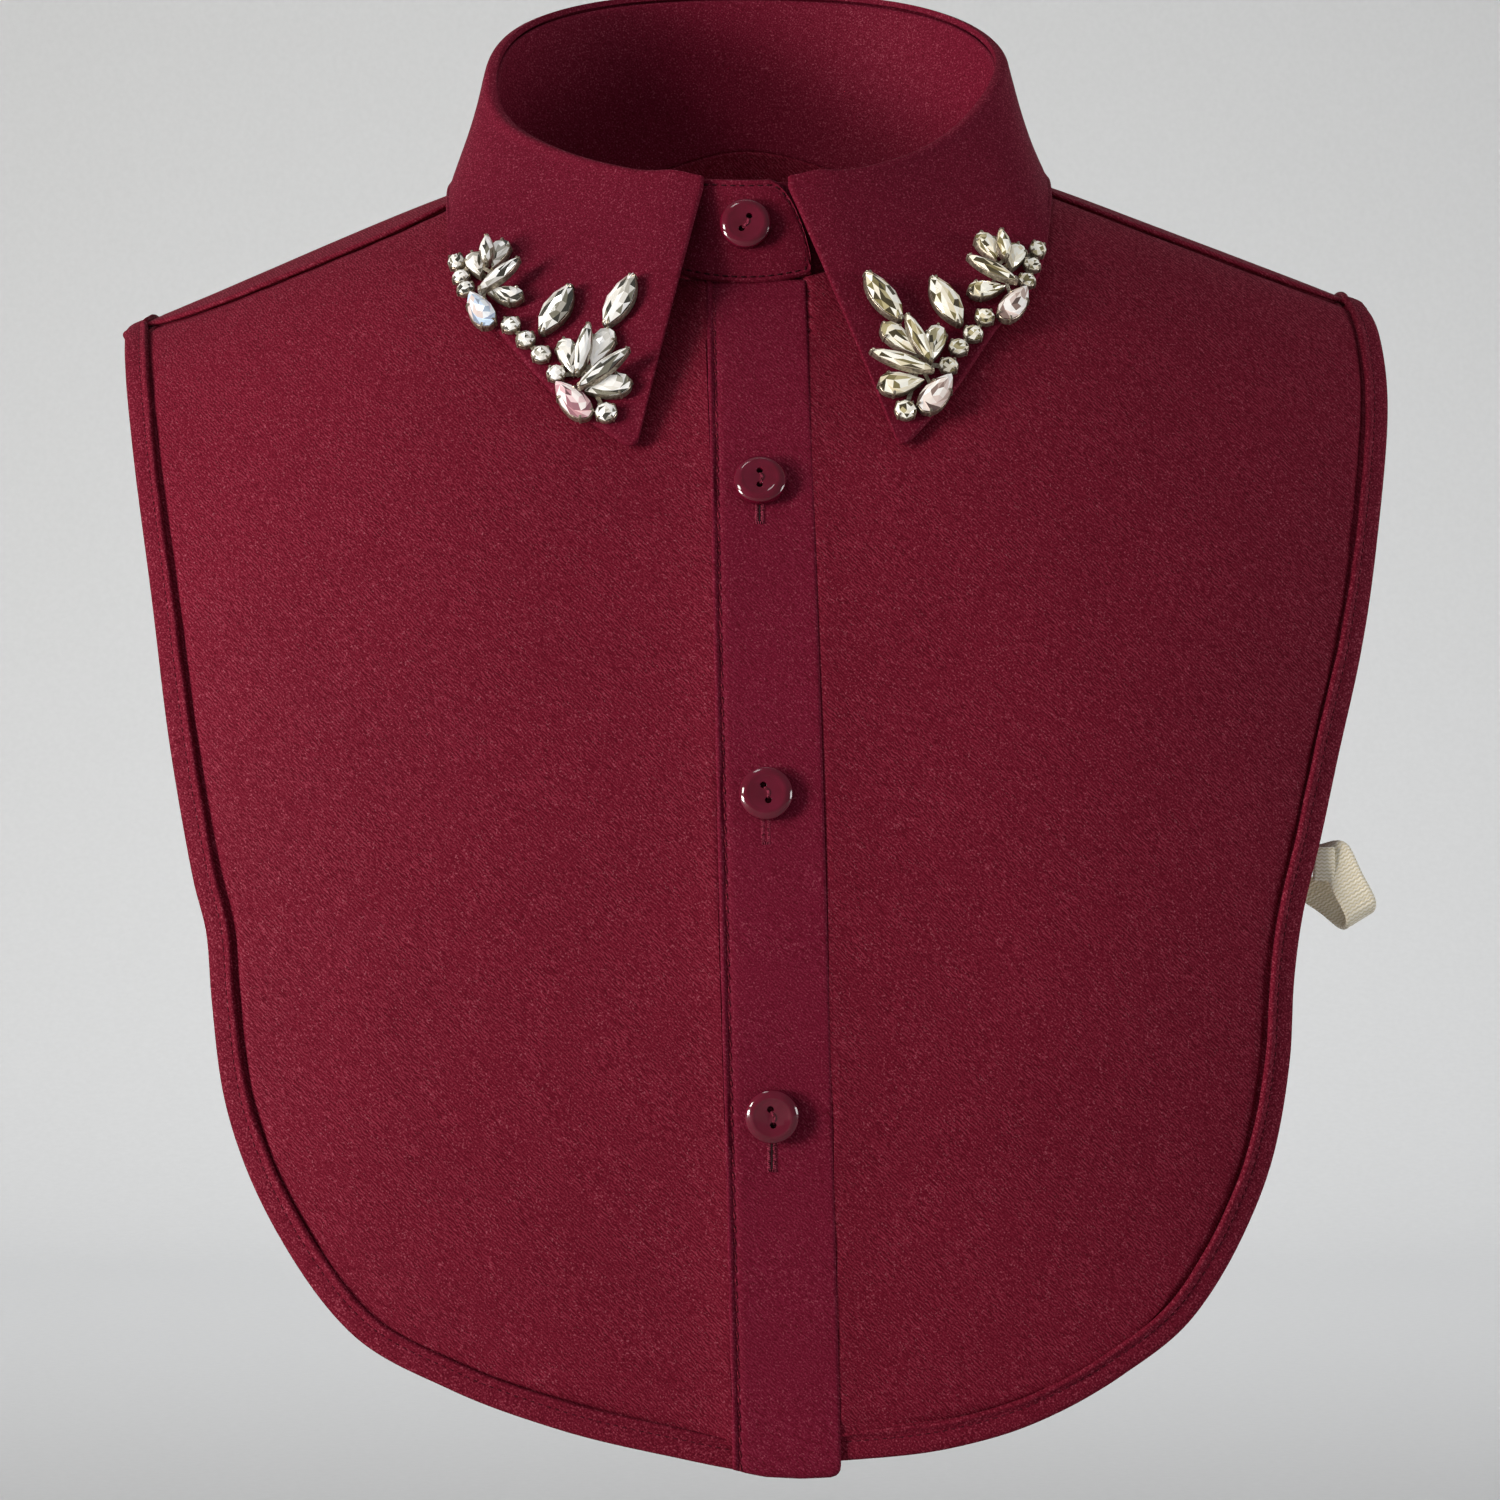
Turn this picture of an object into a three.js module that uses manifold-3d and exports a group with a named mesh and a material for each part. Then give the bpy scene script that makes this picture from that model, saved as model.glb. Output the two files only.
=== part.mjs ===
// A detachable bib collar: a crepe front in two halves with a button placket, a back that lies
// over the shoulders, a fold-over shirt collar on its stand, and crystal motifs in silver
// settings on both collar points.
// Millimetres. +X is the viewer's right, the front faces -Y, +Z is up. Right and left in the
// names are the wearer's, so the right half has negative x. The origin is the middle of the
// neck opening, level with the foot of the collar at the sides.
import * as THREE from 'three';
import { mergeVertices } from 'three/addons/utils/BufferGeometryUtils.js';
import Module from 'manifold-3d';

const wasm = await Module();
wasm.setup();

// Cloth
const fitGap = 0.3; // between pieces that are sewn, folded or set together
const clothWall = 1.6; // crepe on its interfacing
const binding = { width: 6.5, seat: 0.7, below: 0.4, above: 2.5, frontSteps: 34, backSteps: 52 };
const panelGrid = {
  front: { neckShare: 0.375, columns: 7, rows: 24 },
  back: { neckShare: 0.5, columns: 6, rows: 18 },
};
const placket = { wall: 1.8, lift: 0.6, topZ: -25.6, bottomZ: -288.5, overlap: 3.5, rows: 24 };
const placketEdges = {
  top: { right: -9.2, left: 14 },
  bottom: { right: -2.8, left: 20.9 },
};

// The body form that the bib hangs on. Each slice across x is an arch over the shoulder.
const body = {
  topZ: 26.6,
  slopeRight: 0.428,
  slopeLeft: 0.383,
  neckRound: 22,
  seamY: 8,
  neckShift: 36,
  neckSpread: 40,
  halfWidth: 172,
  squareness: 2.8,
  front: { depth: 118, fullZ: -195, roundness: 2.03 },
  back: { depth: 86, fullZ: -130, roundness: 2.4 },
  hangBack: 0.04, // how far the cloth swings back for each mm below the bust
};

// Neck opening, on the body form: an ellipse seen from above
const neckLoop = { halfWidth: 62.5, halfDepth: 59.5, centreY: -1.5 };
const seam = { q: 0.125, halfGap: 0.001, squaring: 0.1 }; // shoulder seam, just before the ridge

// Outer edge of the bib, from the shoulder down the side and round to the middle of the hem
const frontRightEdge = [
  { out: 149.4, z: null },
  { out: 147, z: -38 },
  { out: 140.8, z: -63.3 },
  { out: 133.5, z: -98.6 },
  { out: 128.2, z: -129.5 },
  { out: 122.2, z: -158.5 },
  { out: 119, z: -170.5 },
  { out: 117.7, z: -185 },
  { out: 115.2, z: -204.8 },
  { out: 110.3, z: -221 },
  { out: 100.2, z: -240.5 },
  { out: 86.4, z: -257.8, corner: true },
  { out: 64.9, z: -269.6 },
  { out: 40.7, z: -278.3 },
  { out: 20, z: -283.3 },
  { out: 0, z: -285.5 },
];
const frontLeftEdge = [
  { out: 148.4, z: null },
  { out: 150, z: -34 },
  { out: 149, z: -52.5 },
  { out: 142.6, z: -88.3 },
  { out: 138.1, z: -109.1 },
  { out: 132, z: -131.7 },
  { out: 127.6, z: -149.4 },
  { out: 122.9, z: -167.5 },
  { out: 121, z: -181 },
  { out: 120, z: -198.3 },
  { out: 116.6, z: -218.2 },
  { out: 110, z: -235.7 },
  { out: 98.6, z: -254.1 },
  { out: 82.4, z: -267, corner: true },
  { out: 64, z: -276.8 },
  { out: 44.8, z: -282.4 },
  { out: 20.9, z: -285 },
  { out: -6, z: -285 },
];
const backEdge = [
  { out: 149, z: null },
  { out: 147.5, z: -33 },
  { out: 141, z: -62 },
  { out: 132, z: -92 },
  { out: 122.5, z: -120 },
  { out: 112, z: -147 },
  { out: 97, z: -170 },
  { out: 76, z: -187.5, corner: true },
  { out: 52, z: -197 },
  { out: 26, z: -201 },
  { out: 0, z: -202 },
];

// Collar
const fold = {
  halfWidth: 59.8,
  halfDepth: 57.5,
  centreY: 3,
  sideZ: 35,
  rise: 0.62,
  ease: 0.0024,
  tilt: { height: 3.2, y: -14, spread: 22 }, // the left front sits higher than the right
  dip: { depth: 2.2, fromAngle: 6, toAngle: 24 }, // of the stand's top, under the leaf
};
const stand = {
  wall: 1.8,
  footGap: 0.8,
  overAngle: 13.4,
  underAngle: 12,
  endLength: 8.5,
  endRoundness: 1.7,
  endLeast: 0.12, // share of the full height that is left at the very end
  columns: 66,
};
const overlapLift = { height: 2.1, fullAngle: 16, noneAngle: 48 };
const leaf = {
  wall: 1.6,
  frontAngle: 8.6,
  clearance: 2.75, // from the body to the middle of the cloth
  bend: 0.16, // share of the rows that turn over the stand's top
  over: { out: 0.9, up: 1.4 },
  crest: { out: 2.8, up: 0.9 },
  fall: { out: 3.4, up: -1.6 },
  belly: -0.8,
  columns: 54,
  rows: 7,
};
// The leaf's front ends start on the stand's outer face, and rise over its top further back
const leafEnd = {
  over: { out: 2.95, up: -0.6 },
  crest: { out: 3.15, up: -1.6 },
  fall: { out: 3.5, up: -3.2 },
  rises: { from: 7, to: 16 },
  turnsIn: { from: 14, to: 24 },
};
const leafEdge = [
  { at: 'point', right: { x: -24.5, z: -61.4 }, left: { x: 34.4, z: -60.2 } },
  { at: 'front', right: { x: -42, z: -50.4 }, left: { x: 47, z: -48.8 } },
  { at: 'mid', right: { x: -56, z: -35 }, left: { x: 57, z: -34 } },
  { at: 'turn', right: { x: -66, z: -24 }, left: { x: 66.5, z: -22.5 } },
  { at: 'side', right: { x: -69.5, z: -9 }, left: { x: 70.5, z: -8.5 } },
  { at: 'shoulder', right: { x: -69.8, y: 4 }, left: { x: 71.2, y: 4 } },
  { at: 'rear side', right: { x: -65, y: 32 }, left: { x: 65.5, y: 32 } },
  { at: 'rear', right: { x: -40, y: 54.5 }, left: { x: 40, y: 54.5 } },
];
const leafBackY = 65.5;

// Buttons: turn is the lean of the two holes from upright
const button = {
  radius: 5.75,
  height: 2.4,
  edgeRound: 0.9,
  rimFrom: 4.05,
  rimTo: 4.75,
  dish: 0.6,
  holeRadius: 0.75,
  holePitch: 2.8,
};
const buttonSpots = [
  { name: 'button_1', x: -0.1, z: -8.3, turn: -30 },
  { name: 'button_2', x: 3.1, z: -68.7, turn: 0 },
  { name: 'button_3', x: 4.4, z: -138.7, turn: 18 },
  { name: 'button_4', x: 5.7, z: -209.3, turn: 10 },
];

// Elastic straps
const strap = { width: 9, wall: 1.2, frontZ: -163, backZ: -134, sewn: 9, behind: 1.4, steps: 14 };
const strapSide = [
  { share: 0.25, out: 117, y: -62 },
  { share: 0.5, out: 116, y: -12 },
  { share: 0.75, out: 115, y: 38 },
];
const strapLoop = { width: 6.5, wall: 1.2, steps: 20, across: { x: 0.85, y: 0, z: 0.53 } };
const strapLoopPath = [
  { x: 125.5, y: -89, z: -152.5 },
  { x: 131, y: -92.5, z: -151.5 },
  { x: 134.7, y: -94, z: -159 },
  { x: 138, y: -93.5, z: -166.5 },
  { x: 137.2, y: -91, z: -168.5 },
  { x: 132, y: -88.5, z: -165 },
  { x: 125.3, y: -86.4, z: -161.3 },
];

// Crystals. Each place is seen from the front, turn is the direction in which the stone points,
// counter-clockwise from the viewer's right, and tier 1 lies over tier 0.
const crystal = {
  foot: 1.4,
  height: 1.9,
  corners: 10,
  tierStep: 3.1,
  girdle: 0.45, // share of the height at which the stone is widest
  footScale: 0.62,
  tableScale: 0.58,
  bedScale: 0.9,
  faceHeight: 2.5, // of the face that is seen, over the cloth
};
const setting = {
  from: 0.5,
  to: 1.1,
  margin: 0.35,
  plateScale: 0.8,
  armWidth: 1.2,
  hubRadius: 1.3,
  studTop: 2.9,
  studBevel: 0.9,
  studTable: 0.6,
  faceHeight: 2.2,
};
const stones = [
  {
    name: 'upper_petal_1', group: 'upper', shape: 'pear', length: 7.4, width: 4.6, tier: 0,
    right: { x: -62.4, z: -16.8, turn: 109 }, left: { x: 62.2, z: -14.9, turn: 76 },
  },
  {
    name: 'upper_petal_2', group: 'upper', shape: 'navette', length: 8, width: 3, tier: 1,
    right: { x: -59.7, z: -13.4, turn: 92 }, left: { x: 59.2, z: -12.2, turn: 97 },
  },
  {
    name: 'upper_petal_3', group: 'upper', shape: 'pear', length: 7.6, width: 4.8, tier: 0,
    right: { x: -57, z: -14.3, turn: 73 }, left: { x: 55.6, z: -12.7, turn: 116 },
  },
  {
    name: 'upper_petal_4', group: 'upper', shape: 'navette', length: 11, width: 3, tier: 1,
    right: { x: -55.6, z: -19.8, turn: 41 }, left: { x: 55.4, z: -18.6, turn: 152 },
  },
  {
    name: 'upper_petal_5', group: 'upper', shape: 'pear', length: 7.4, width: 4.8, tier: 0,
    right: { x: -54.4, z: -25.2, turn: -12 }, left: { x: 54.4, z: -24, turn: 188 },
  },
  {
    name: 'upper_drop', group: 'upper', shape: 'drop', length: 12.6, width: 6.6, tier: 0,
    right: { x: -61.2, z: -29.2, turn: -60 }, left: { x: 61.4, z: -27.2, turn: -126 },
  },
  {
    name: 'lower_petal_1', group: 'lower', shape: 'pear', length: 8.6, width: 4.6, tier: 0,
    right: { x: -40.3, z: -39.6, turn: 105 }, left: { x: 43, z: -36.4, turn: 80 },
  },
  {
    name: 'lower_petal_2', group: 'lower', shape: 'navette', length: 12, width: 3.2, tier: 1,
    right: { x: -36.5, z: -37.6, turn: 79 }, left: { x: 38.6, z: -35.4, turn: 115 },
  },
  {
    name: 'lower_petal_3', group: 'lower', shape: 'pear', length: 9.2, width: 5.2, tier: 0,
    right: { x: -32.6, z: -37.6, turn: 68 }, left: { x: 34.4, z: -35.9, turn: 137 },
  },
  {
    name: 'lower_petal_4', group: 'lower', shape: 'navette', length: 12.6, width: 3.2, tier: 1,
    right: { x: -31, z: -42.6, turn: 38 }, left: { x: 34, z: -41.4, turn: 163 },
  },
  {
    name: 'lower_petal_5', group: 'lower', shape: 'pear', length: 8.8, width: 5.8, tier: 0,
    right: { x: -30.2, z: -47.4, turn: 12 }, left: { x: 34.2, z: -46.9, turn: 187 },
  },
  {
    name: 'lower_drop', group: 'lower', shape: 'drop', length: 12.4, width: 6.8, tier: 0,
    right: { x: -39, z: -50.6, turn: -48 }, left: { x: 43, z: -49, turn: -128 },
  },
  {
    name: 'navette_1', group: 'alone', shape: 'navette', length: 15, width: 6.4, tier: 0,
    right: { x: -43.2, z: -28.9, turn: 60 }, left: { x: 45.7, z: -26.9, turn: 118 },
  },
  {
    name: 'navette_2', group: 'alone', shape: 'navette', length: 15, width: 6.2, tier: 0,
    right: { x: -28.8, z: -27.1, turn: 63 }, left: { x: 31.4, z: -26.2, turn: 124 },
  },
];
const hubs = {
  upper: { right: { x: -59.3, z: -21.6, turn: 0 }, left: { x: 58.7, z: -19.4, turn: 0 } },
  lower: { right: { x: -36.2, z: -45, turn: 0 }, left: { x: 39, z: -42.6, turn: 0 } },
};
// Round stones, each drawn in one with its cup
const studs = [
  {
    group: 'upper', length: 5, width: 3.8,
    right: { x: -67, z: -16.4, turn: 100 }, left: { x: 67.6, z: -13.4, turn: 80 },
  },
  {
    group: 'upper', length: 4, width: 4,
    right: { x: -65.6, z: -20.3, turn: 0 }, left: { x: 66, z: -17.4, turn: 0 },
  },
  {
    group: 'upper', length: 4, width: 4,
    right: { x: -64.4, z: -23.3, turn: 0 }, left: { x: 64.6, z: -21.4, turn: 0 },
  },
  {
    group: 'chain', length: 4.4, width: 4.4,
    right: { x: -53.5, z: -32.4, turn: 0 }, left: { x: 54.4, z: -30.6, turn: 0 },
  },
  {
    group: 'chain', length: 4.4, width: 4.4,
    right: { x: -50, z: -36, turn: 0 }, left: { x: 51.6, z: -34.7, turn: 0 },
  },
  {
    group: 'chain', length: 4.4, width: 4.4,
    right: { x: -46.3, z: -39.6, turn: 0 }, left: { x: 48.2, z: -38, turn: 0 },
  },
  {
    group: 'lower', length: 4.2, width: 4.2,
    right: { x: -42.8, z: -44.2, turn: 0 }, left: { x: 45.8, z: -42.4, turn: 0 },
  },
  {
    group: 'lower', length: 4.8, width: 4.8,
    right: { x: -31.4, z: -53.5, turn: 0 }, left: { x: 35.9, z: -53, turn: 0 },
  },
];

const colours = {
  crepeFront: '#741a31',
  crepePlacket: '#6e162f',
  crepeCollar: '#6b152d',
  button: '#5c0f27',
  elastic: '#e4dfd2',
  crystal: '#dfe4ea',
  silver: '#b9b8b4',
};

// The body form

function archTop(x) {
  const slope = x < 0 ? body.slopeRight : body.slopeLeft;
  const away = Math.hypot(x, body.neckRound) - body.neckRound;
  const y = body.seamY + body.neckShift * Math.exp(-((x / body.neckSpread) ** 2));
  return { y, z: body.topZ - slope * away };
}

function archHalf(x, isFront) {
  const form = isFront ? body.front : body.back;
  const top = archTop(x);
  const fade = (1 - Math.abs(x / body.halfWidth) ** body.squareness) ** (1 / body.squareness);
  const reach = form.depth * fade + (isFront ? top.y : -top.y);
  return { top, reach, drop: top.z - form.fullZ, power: form.roundness };
}

// A place on the body: q is 0 on the shoulder ridge, 1 at the full depth of the chest and -1 at
// the full depth of the back
function bodyPoint(x, q) {
  const isFront = q > 0;
  const { top, reach, drop, power } = archHalf(x, isFront);
  const share = Math.min(Math.abs(q), 1) ** power;
  const out = reach * (1 - (1 - share) ** power) ** (1 / power);
  const below = Math.max(Math.abs(q) - 1, 0) * power * drop;
  const y = isFront ? top.y - out + body.hangBack * below : top.y + out;
  return new THREE.Vector3(x, y, top.z - drop * share - below);
}

function bodyNormal(x, q) {
  const step = 0.002;
  const alongX = bodyPoint(x + step, q).sub(bodyPoint(x - step, q));
  const alongQ = bodyPoint(x, q + step).sub(bodyPoint(x, q - step));
  return alongQ.cross(alongX).normalize();
}

function qAtHeight(x, z, isFront) {
  const { top, drop, power } = archHalf(x, isFront);
  const share = Math.max(top.z - z, 0) / drop;
  const q = share <= 1 ? share ** (1 / power) : 1 + (share - 1) / power;
  return isFront ? q : -q;
}

function qAtDepth(x, y) {
  const isFront = y < archTop(x).y;
  const { top, reach, power } = archHalf(x, isFront);
  const out = Math.min(Math.abs(y - top.y) / reach, 1);
  const share = 1 - (1 - out ** power) ** (1 / power);
  return (isFront ? 1 : -1) * share ** (1 / power);
}

// The place over the body, at a height along its normal, that shows at x and z from the front
function raisedOnBody(x, z, height) {
  const aim = { x, z };
  let raised;
  for (let round = 0; round < 4; round += 1) {
    raised = onBody({ x: aim.x, q: qAtHeight(aim.x, aim.z, true) });
    raised.point.addScaledVector(raised.normal, height);
    aim.x += x - raised.point.x;
    aim.z += z - raised.point.z;
  }
  return raised;
}

// Moves a point out along the body's normal until it lies at least the clearance above the body
function liftOffBody(point, clearance) {
  const q = qAtDepth(point.x, point.y);
  const under = bodyPoint(point.x, q);
  const normal = bodyNormal(point.x, q);
  const height = point.clone().sub(under).dot(normal);
  return height < clearance ? point.addScaledVector(normal, clearance - height) : point;
}

// Sheets and solids

function gridSheet(columns, rows, place) {
  const sheet = { points: [], normals: [], quads: [] };
  for (let row = 0; row <= rows; row += 1) {
    for (let column = 0; column <= columns; column += 1) {
      const spot = place(column / columns, row / rows);
      sheet.points.push(spot.point);
      sheet.normals.push(spot.normal);
    }
  }
  const across = columns + 1;
  for (let row = 0; row < rows; row += 1) {
    for (let column = 0; column < columns; column += 1) {
      const first = row * across + column;
      sheet.quads.push([first, first + 1, first + 1 + across, first + across]);
    }
  }
  const [a, b, , d] = sheet.quads[Math.floor(sheet.quads.length / 2)];
  const edge1 = sheet.points[b].clone().sub(sheet.points[a]);
  const edge2 = sheet.points[d].clone().sub(sheet.points[a]);
  if (edge1.cross(edge2).dot(sheet.normals[a]) < 0) sheet.quads.forEach((quad) => quad.reverse());
  return sheet;
}

function joinSheets(sheets) {
  const joined = { points: [], normals: [], quads: [] };
  const known = new Map();
  const key = (point) => point.toArray().map((value) => value.toFixed(3)).join(' ');
  for (const sheet of sheets) {
    const index = sheet.points.map((point, i) => {
      const name = key(point);
      if (!known.has(name)) {
        known.set(name, joined.points.length);
        joined.points.push(point);
        joined.normals.push(sheet.normals[i]);
      }
      return known.get(name);
    });
    sheet.quads.forEach((quad) => joined.quads.push(quad.map((corner) => index[corner])));
  }
  return joined;
}

function geometryFrom(points, triangles) {
  const geometry = new THREE.BufferGeometry();
  geometry.setAttribute(
    'position',
    new THREE.Float32BufferAttribute(points.flatMap((point) => point.toArray()), 3),
  );
  geometry.setIndex(triangles.flat());
  return geometry;
}

// Gives a sheet its wall, from inside to outside along its normals, and closes the rim
function sheetSolid(sheet, inside, outside) {
  const count = sheet.points.length;
  const layer = (offset) =>
    sheet.points.map((point, i) => point.clone().addScaledVector(sheet.normals[i], offset));
  const points = [...layer(outside), ...layer(inside)];
  const triangles = [];
  const distance = (from, to) => points[from].distanceTo(points[to]);
  const addQuad = ([a, b, c, d]) => {
    if (distance(a, c) <= distance(b, d)) triangles.push([a, b, c], [a, c, d]);
    else triangles.push([b, c, d], [b, d, a]);
  };
  const edges = new Set();
  for (const quad of sheet.quads) {
    addQuad(quad);
    addQuad(quad.map((corner) => corner + count).reverse());
    quad.forEach((corner, i) => edges.add(`${corner} ${quad[(i + 1) % 4]}`));
  }
  for (const edge of edges) {
    const [from, to] = edge.split(' ').map(Number);
    if (!edges.has(`${to} ${from}`)) addQuad([to, from, from + count, to + count]);
  }
  return geometryFrom(points, triangles);
}

// Closes a stack of rings with equal counts, counter-clockwise as seen from the last one
function ringSolid(rings) {
  const count = rings[0].length;
  const triangles = [];
  for (let ring = 0; ring < rings.length - 1; ring += 1) {
    for (let i = 0; i < count; i += 1) {
      const a = ring * count + i;
      const b = ring * count + ((i + 1) % count);
      triangles.push([a, b, b + count], [a, b + count, a + count]);
    }
  }
  const last = (rings.length - 1) * count;
  for (let i = 1; i < count - 1; i += 1) {
    triangles.push([0, i + 1, i], [last, last + i, last + i + 1]);
  }
  return geometryFrom(rings.flat(), triangles);
}

function toManifold(geometry) {
  const bare = geometry.clone();
  bare.deleteAttribute('normal');
  bare.deleteAttribute('uv');
  const merged = mergeVertices(bare);
  return new wasm.Manifold(
    new wasm.Mesh({
      numProp: 3,
      vertProperties: new Float32Array(merged.attributes.position.array),
      triVerts: new Uint32Array(merged.index.array),
    }),
  );
}

function fromManifold(solid) {
  const mesh = solid.getMesh();
  const geometry = new THREE.BufferGeometry();
  geometry.setAttribute('position', new THREE.BufferAttribute(mesh.vertProperties, 3));
  geometry.setIndex(new THREE.BufferAttribute(mesh.triVerts, 1));
  return geometry;
}

// Bib panels

const radians = THREE.MathUtils.degToRad;

function neckPlace(angle) {
  const x = neckLoop.halfWidth * Math.sin(radians(angle));
  const y = neckLoop.centreY - neckLoop.halfDepth * Math.cos(radians(angle));
  return { x, q: qAtDepth(x, y) };
}

const mix = (a, b, share) => a + (b - a) * share;

// The angle round the neck, from the front, at which the neck opening has this q
function neckAngleAt(q) {
  let low = 45;
  let high = 135;
  for (let turn = 0; turn < 40; turn += 1) {
    const middle = (low + high) / 2;
    if (neckPlace(middle).q > q) low = middle;
    else high = middle;
  }
  return low;
}

const cornerShare = (rows) => rows.findIndex((row) => row.corner) / (rows.length - 1);
const seamQ = (isFront) => seam.q + (isFront ? seam.halfGap : -seam.halfGap);

function edgeSpots(rows, side, isFront) {
  return rows.map((row) => {
    const x = side * row.out;
    return { x, q: row.z === null ? seamQ(isFront) : qAtHeight(x, row.z, isFront) };
  });
}

// An outer edge as a smooth curve in x and q, and where on it the side turns into the hem
function edgeCurve(spots, side, corner, inwardSign) {
  const qScale = 100;
  const stops = spots.map(({ x, q }) => new THREE.Vector3(x, q * qScale, 0));
  const curve = new THREE.CatmullRomCurve3(stops, false, 'centripetal');
  const place = (share) => {
    const spot = curve.getPoint(share);
    return { x: spot.x, q: spot.y / qScale };
  };
  return { place, corner, side, inwardSign, seamQ: spots[0].q };
}

// Half of an edge that runs from one shoulder round the back to the other
function halfEdge(whole, side) {
  const place = (share) => whole.place(side === whole.side ? share / 2 : 1 - share / 2);
  return { place, corner: 2 * whole.corner, side, inwardSign: -side, seamQ: whole.seamQ };
}

// The place that lies a distance in from the outer edge, measured along the cloth
function insetPlace(edge, share, distance) {
  const here = edge.place(share);
  const step = 0.002;
  const from = edge.place(Math.max(share - step, 0));
  const to = edge.place(Math.min(share + step, 1));
  const along = bodyPoint(to.x, to.q).sub(bodyPoint(from.x, from.q));
  const normal = bodyNormal(here.x, here.q);
  const inward = along.cross(normal).normalize().multiplyScalar(edge.inwardSign * distance);
  const alongX = bodyPoint(here.x + step, here.q).sub(bodyPoint(here.x - step, here.q));
  const alongQ = bodyPoint(here.x, here.q + step).sub(bodyPoint(here.x, here.q - step));
  alongX.divideScalar(2 * step);
  alongQ.divideScalar(2 * step);
  const xx = alongX.dot(alongX);
  const xq = alongX.dot(alongQ);
  const qq = alongQ.dot(alongQ);
  const dx = alongX.dot(inward);
  const dq = alongQ.dot(inward);
  const scale = xx * qq - xq * xq;
  const q = here.q + (dq * xx - dx * xq) / scale;
  const fromSeam = edge.endsAtSeam ? Math.min(share, 1 - share) * 2 : share;
  const pull = Math.max(1 - fromSeam / seam.squaring, 0) ** 2;
  return { x: here.x + (dx * qq - dq * xq) / scale, q: mix(q, edge.seamQ, pull) };
}

const onBody = ({ x, q }) => ({ point: bodyPoint(x, q), normal: bodyNormal(x, q) });

// A four-sided patch of cloth between its inner edge, outer edge, shoulder seam and hem
function panelSheet({ edge, innerTop, innerBottom, neckShare, columns, rows }) {
  const inset = binding.width + binding.seat;
  const outer = (v) => insetPlace(edge, v * edge.corner, inset);
  const foot = { q: insetPlace(edge, 1, inset).q, ...innerBottom };
  const hem = (u) => {
    const spot = insetPlace(edge, mix(1, edge.corner, u), inset);
    const start = insetPlace(edge, 1, inset);
    return {
      x: spot.x + (foot.x - start.x) * (1 - u),
      q: spot.q + (foot.q - start.q) * (1 - u),
    };
  };
  const seamAngle = edge.side * neckAngleAt(edge.seamQ);
  const inner = (v) => {
    if (v < neckShare) return neckPlace(mix(seamAngle, innerTop, v / neckShare));
    const start = neckPlace(innerTop);
    const share = (v - neckShare) / (1 - neckShare);
    return { x: mix(start.x, foot.x, share), q: mix(start.q, foot.q, share) };
  };
  const shoulder = (u) => {
    const start = inner(0);
    const end = outer(0);
    return { x: mix(start.x, end.x, u), q: mix(start.q, end.q, u) };
  };
  const blend = (u, v, part) => {
    const ruled = mix(inner(v)[part], outer(v)[part], u) + mix(shoulder(u)[part], hem(u)[part], v);
    const top = mix(inner(0)[part], outer(0)[part], u);
    const bottom = mix(foot[part], hem(1)[part], u);
    return ruled - mix(top, bottom, v);
  };
  return gridSheet(columns, rows, (u, v) =>
    onBody({ x: blend(u, v, 'x'), q: blend(u, v, 'q') }));
}

function bindingSheet(edge, from, to, steps) {
  return gridSheet(2, steps, (u, v) =>
    onBody(insetPlace(edge, mix(from, to, v), u * binding.width)));
}

const frontEdge = (rows, side) =>
  edgeCurve(edgeSpots(rows, side, true), side, cornerShare(rows), side);
const frontRight = frontEdge(frontRightEdge, -1);
const frontLeft = frontEdge(frontLeftEdge, 1);
const backSpots = [
  ...edgeSpots(backEdge, -1, false),
  ...edgeSpots(backEdge, 1, false).reverse().slice(1),
];
const backWhole = {
  ...edgeCurve(backSpots, -1, cornerShare(backEdge) / 2, 1),
  endsAtSeam: true,
};
const backRight = halfEdge(backWhole, -1);
const backLeft = halfEdge(backWhole, 1);

// Where along an edge curve its x reaches a value, searched from the hem's middle outwards
function shareWhereX(edge, x) {
  let low = edge.corner;
  let high = 1;
  for (let turn = 0; turn < 40; turn += 1) {
    const middle = (low + high) / 2;
    if (edge.side * (edge.place(middle).x - x) > 0) low = middle;
    else high = middle;
  }
  return low;
}

function frontPanels() {
  const joinX = placketEdges.top.right + placket.overlap;
  const joinBottomX = placketEdges.bottom.right + placket.overlap;
  const joinAngle = THREE.MathUtils.radToDeg(Math.asin(joinX / neckLoop.halfWidth));
  const gapAngle = THREE.MathUtils.radToDeg(fitGap / neckLoop.halfWidth);
  const right = panelSheet({
    ...panelGrid.front,
    edge: frontRight,
    innerTop: joinAngle - gapAngle,
    innerBottom: { x: joinBottomX - fitGap },
  });
  const left = panelSheet({
    ...panelGrid.front,
    edge: frontLeft,
    innerTop: joinAngle,
    innerBottom: { x: joinBottomX },
  });
  return { right: sheetSolid(right, 0, clothWall), left: sheetSolid(left, 0, clothWall) };
}

function backPanel() {
  const hemQ = insetPlace(backWhole, 0.5, binding.width + binding.seat).q;
  const common = { ...panelGrid.back, innerBottom: { x: 0, q: hemQ } };
  const left = panelSheet({ ...common, edge: backLeft, innerTop: 180 });
  const right = panelSheet({ ...common, edge: backRight, innerTop: -180 });
  return sheetSolid(joinSheets([right, left]), 0, clothWall);
}

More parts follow.
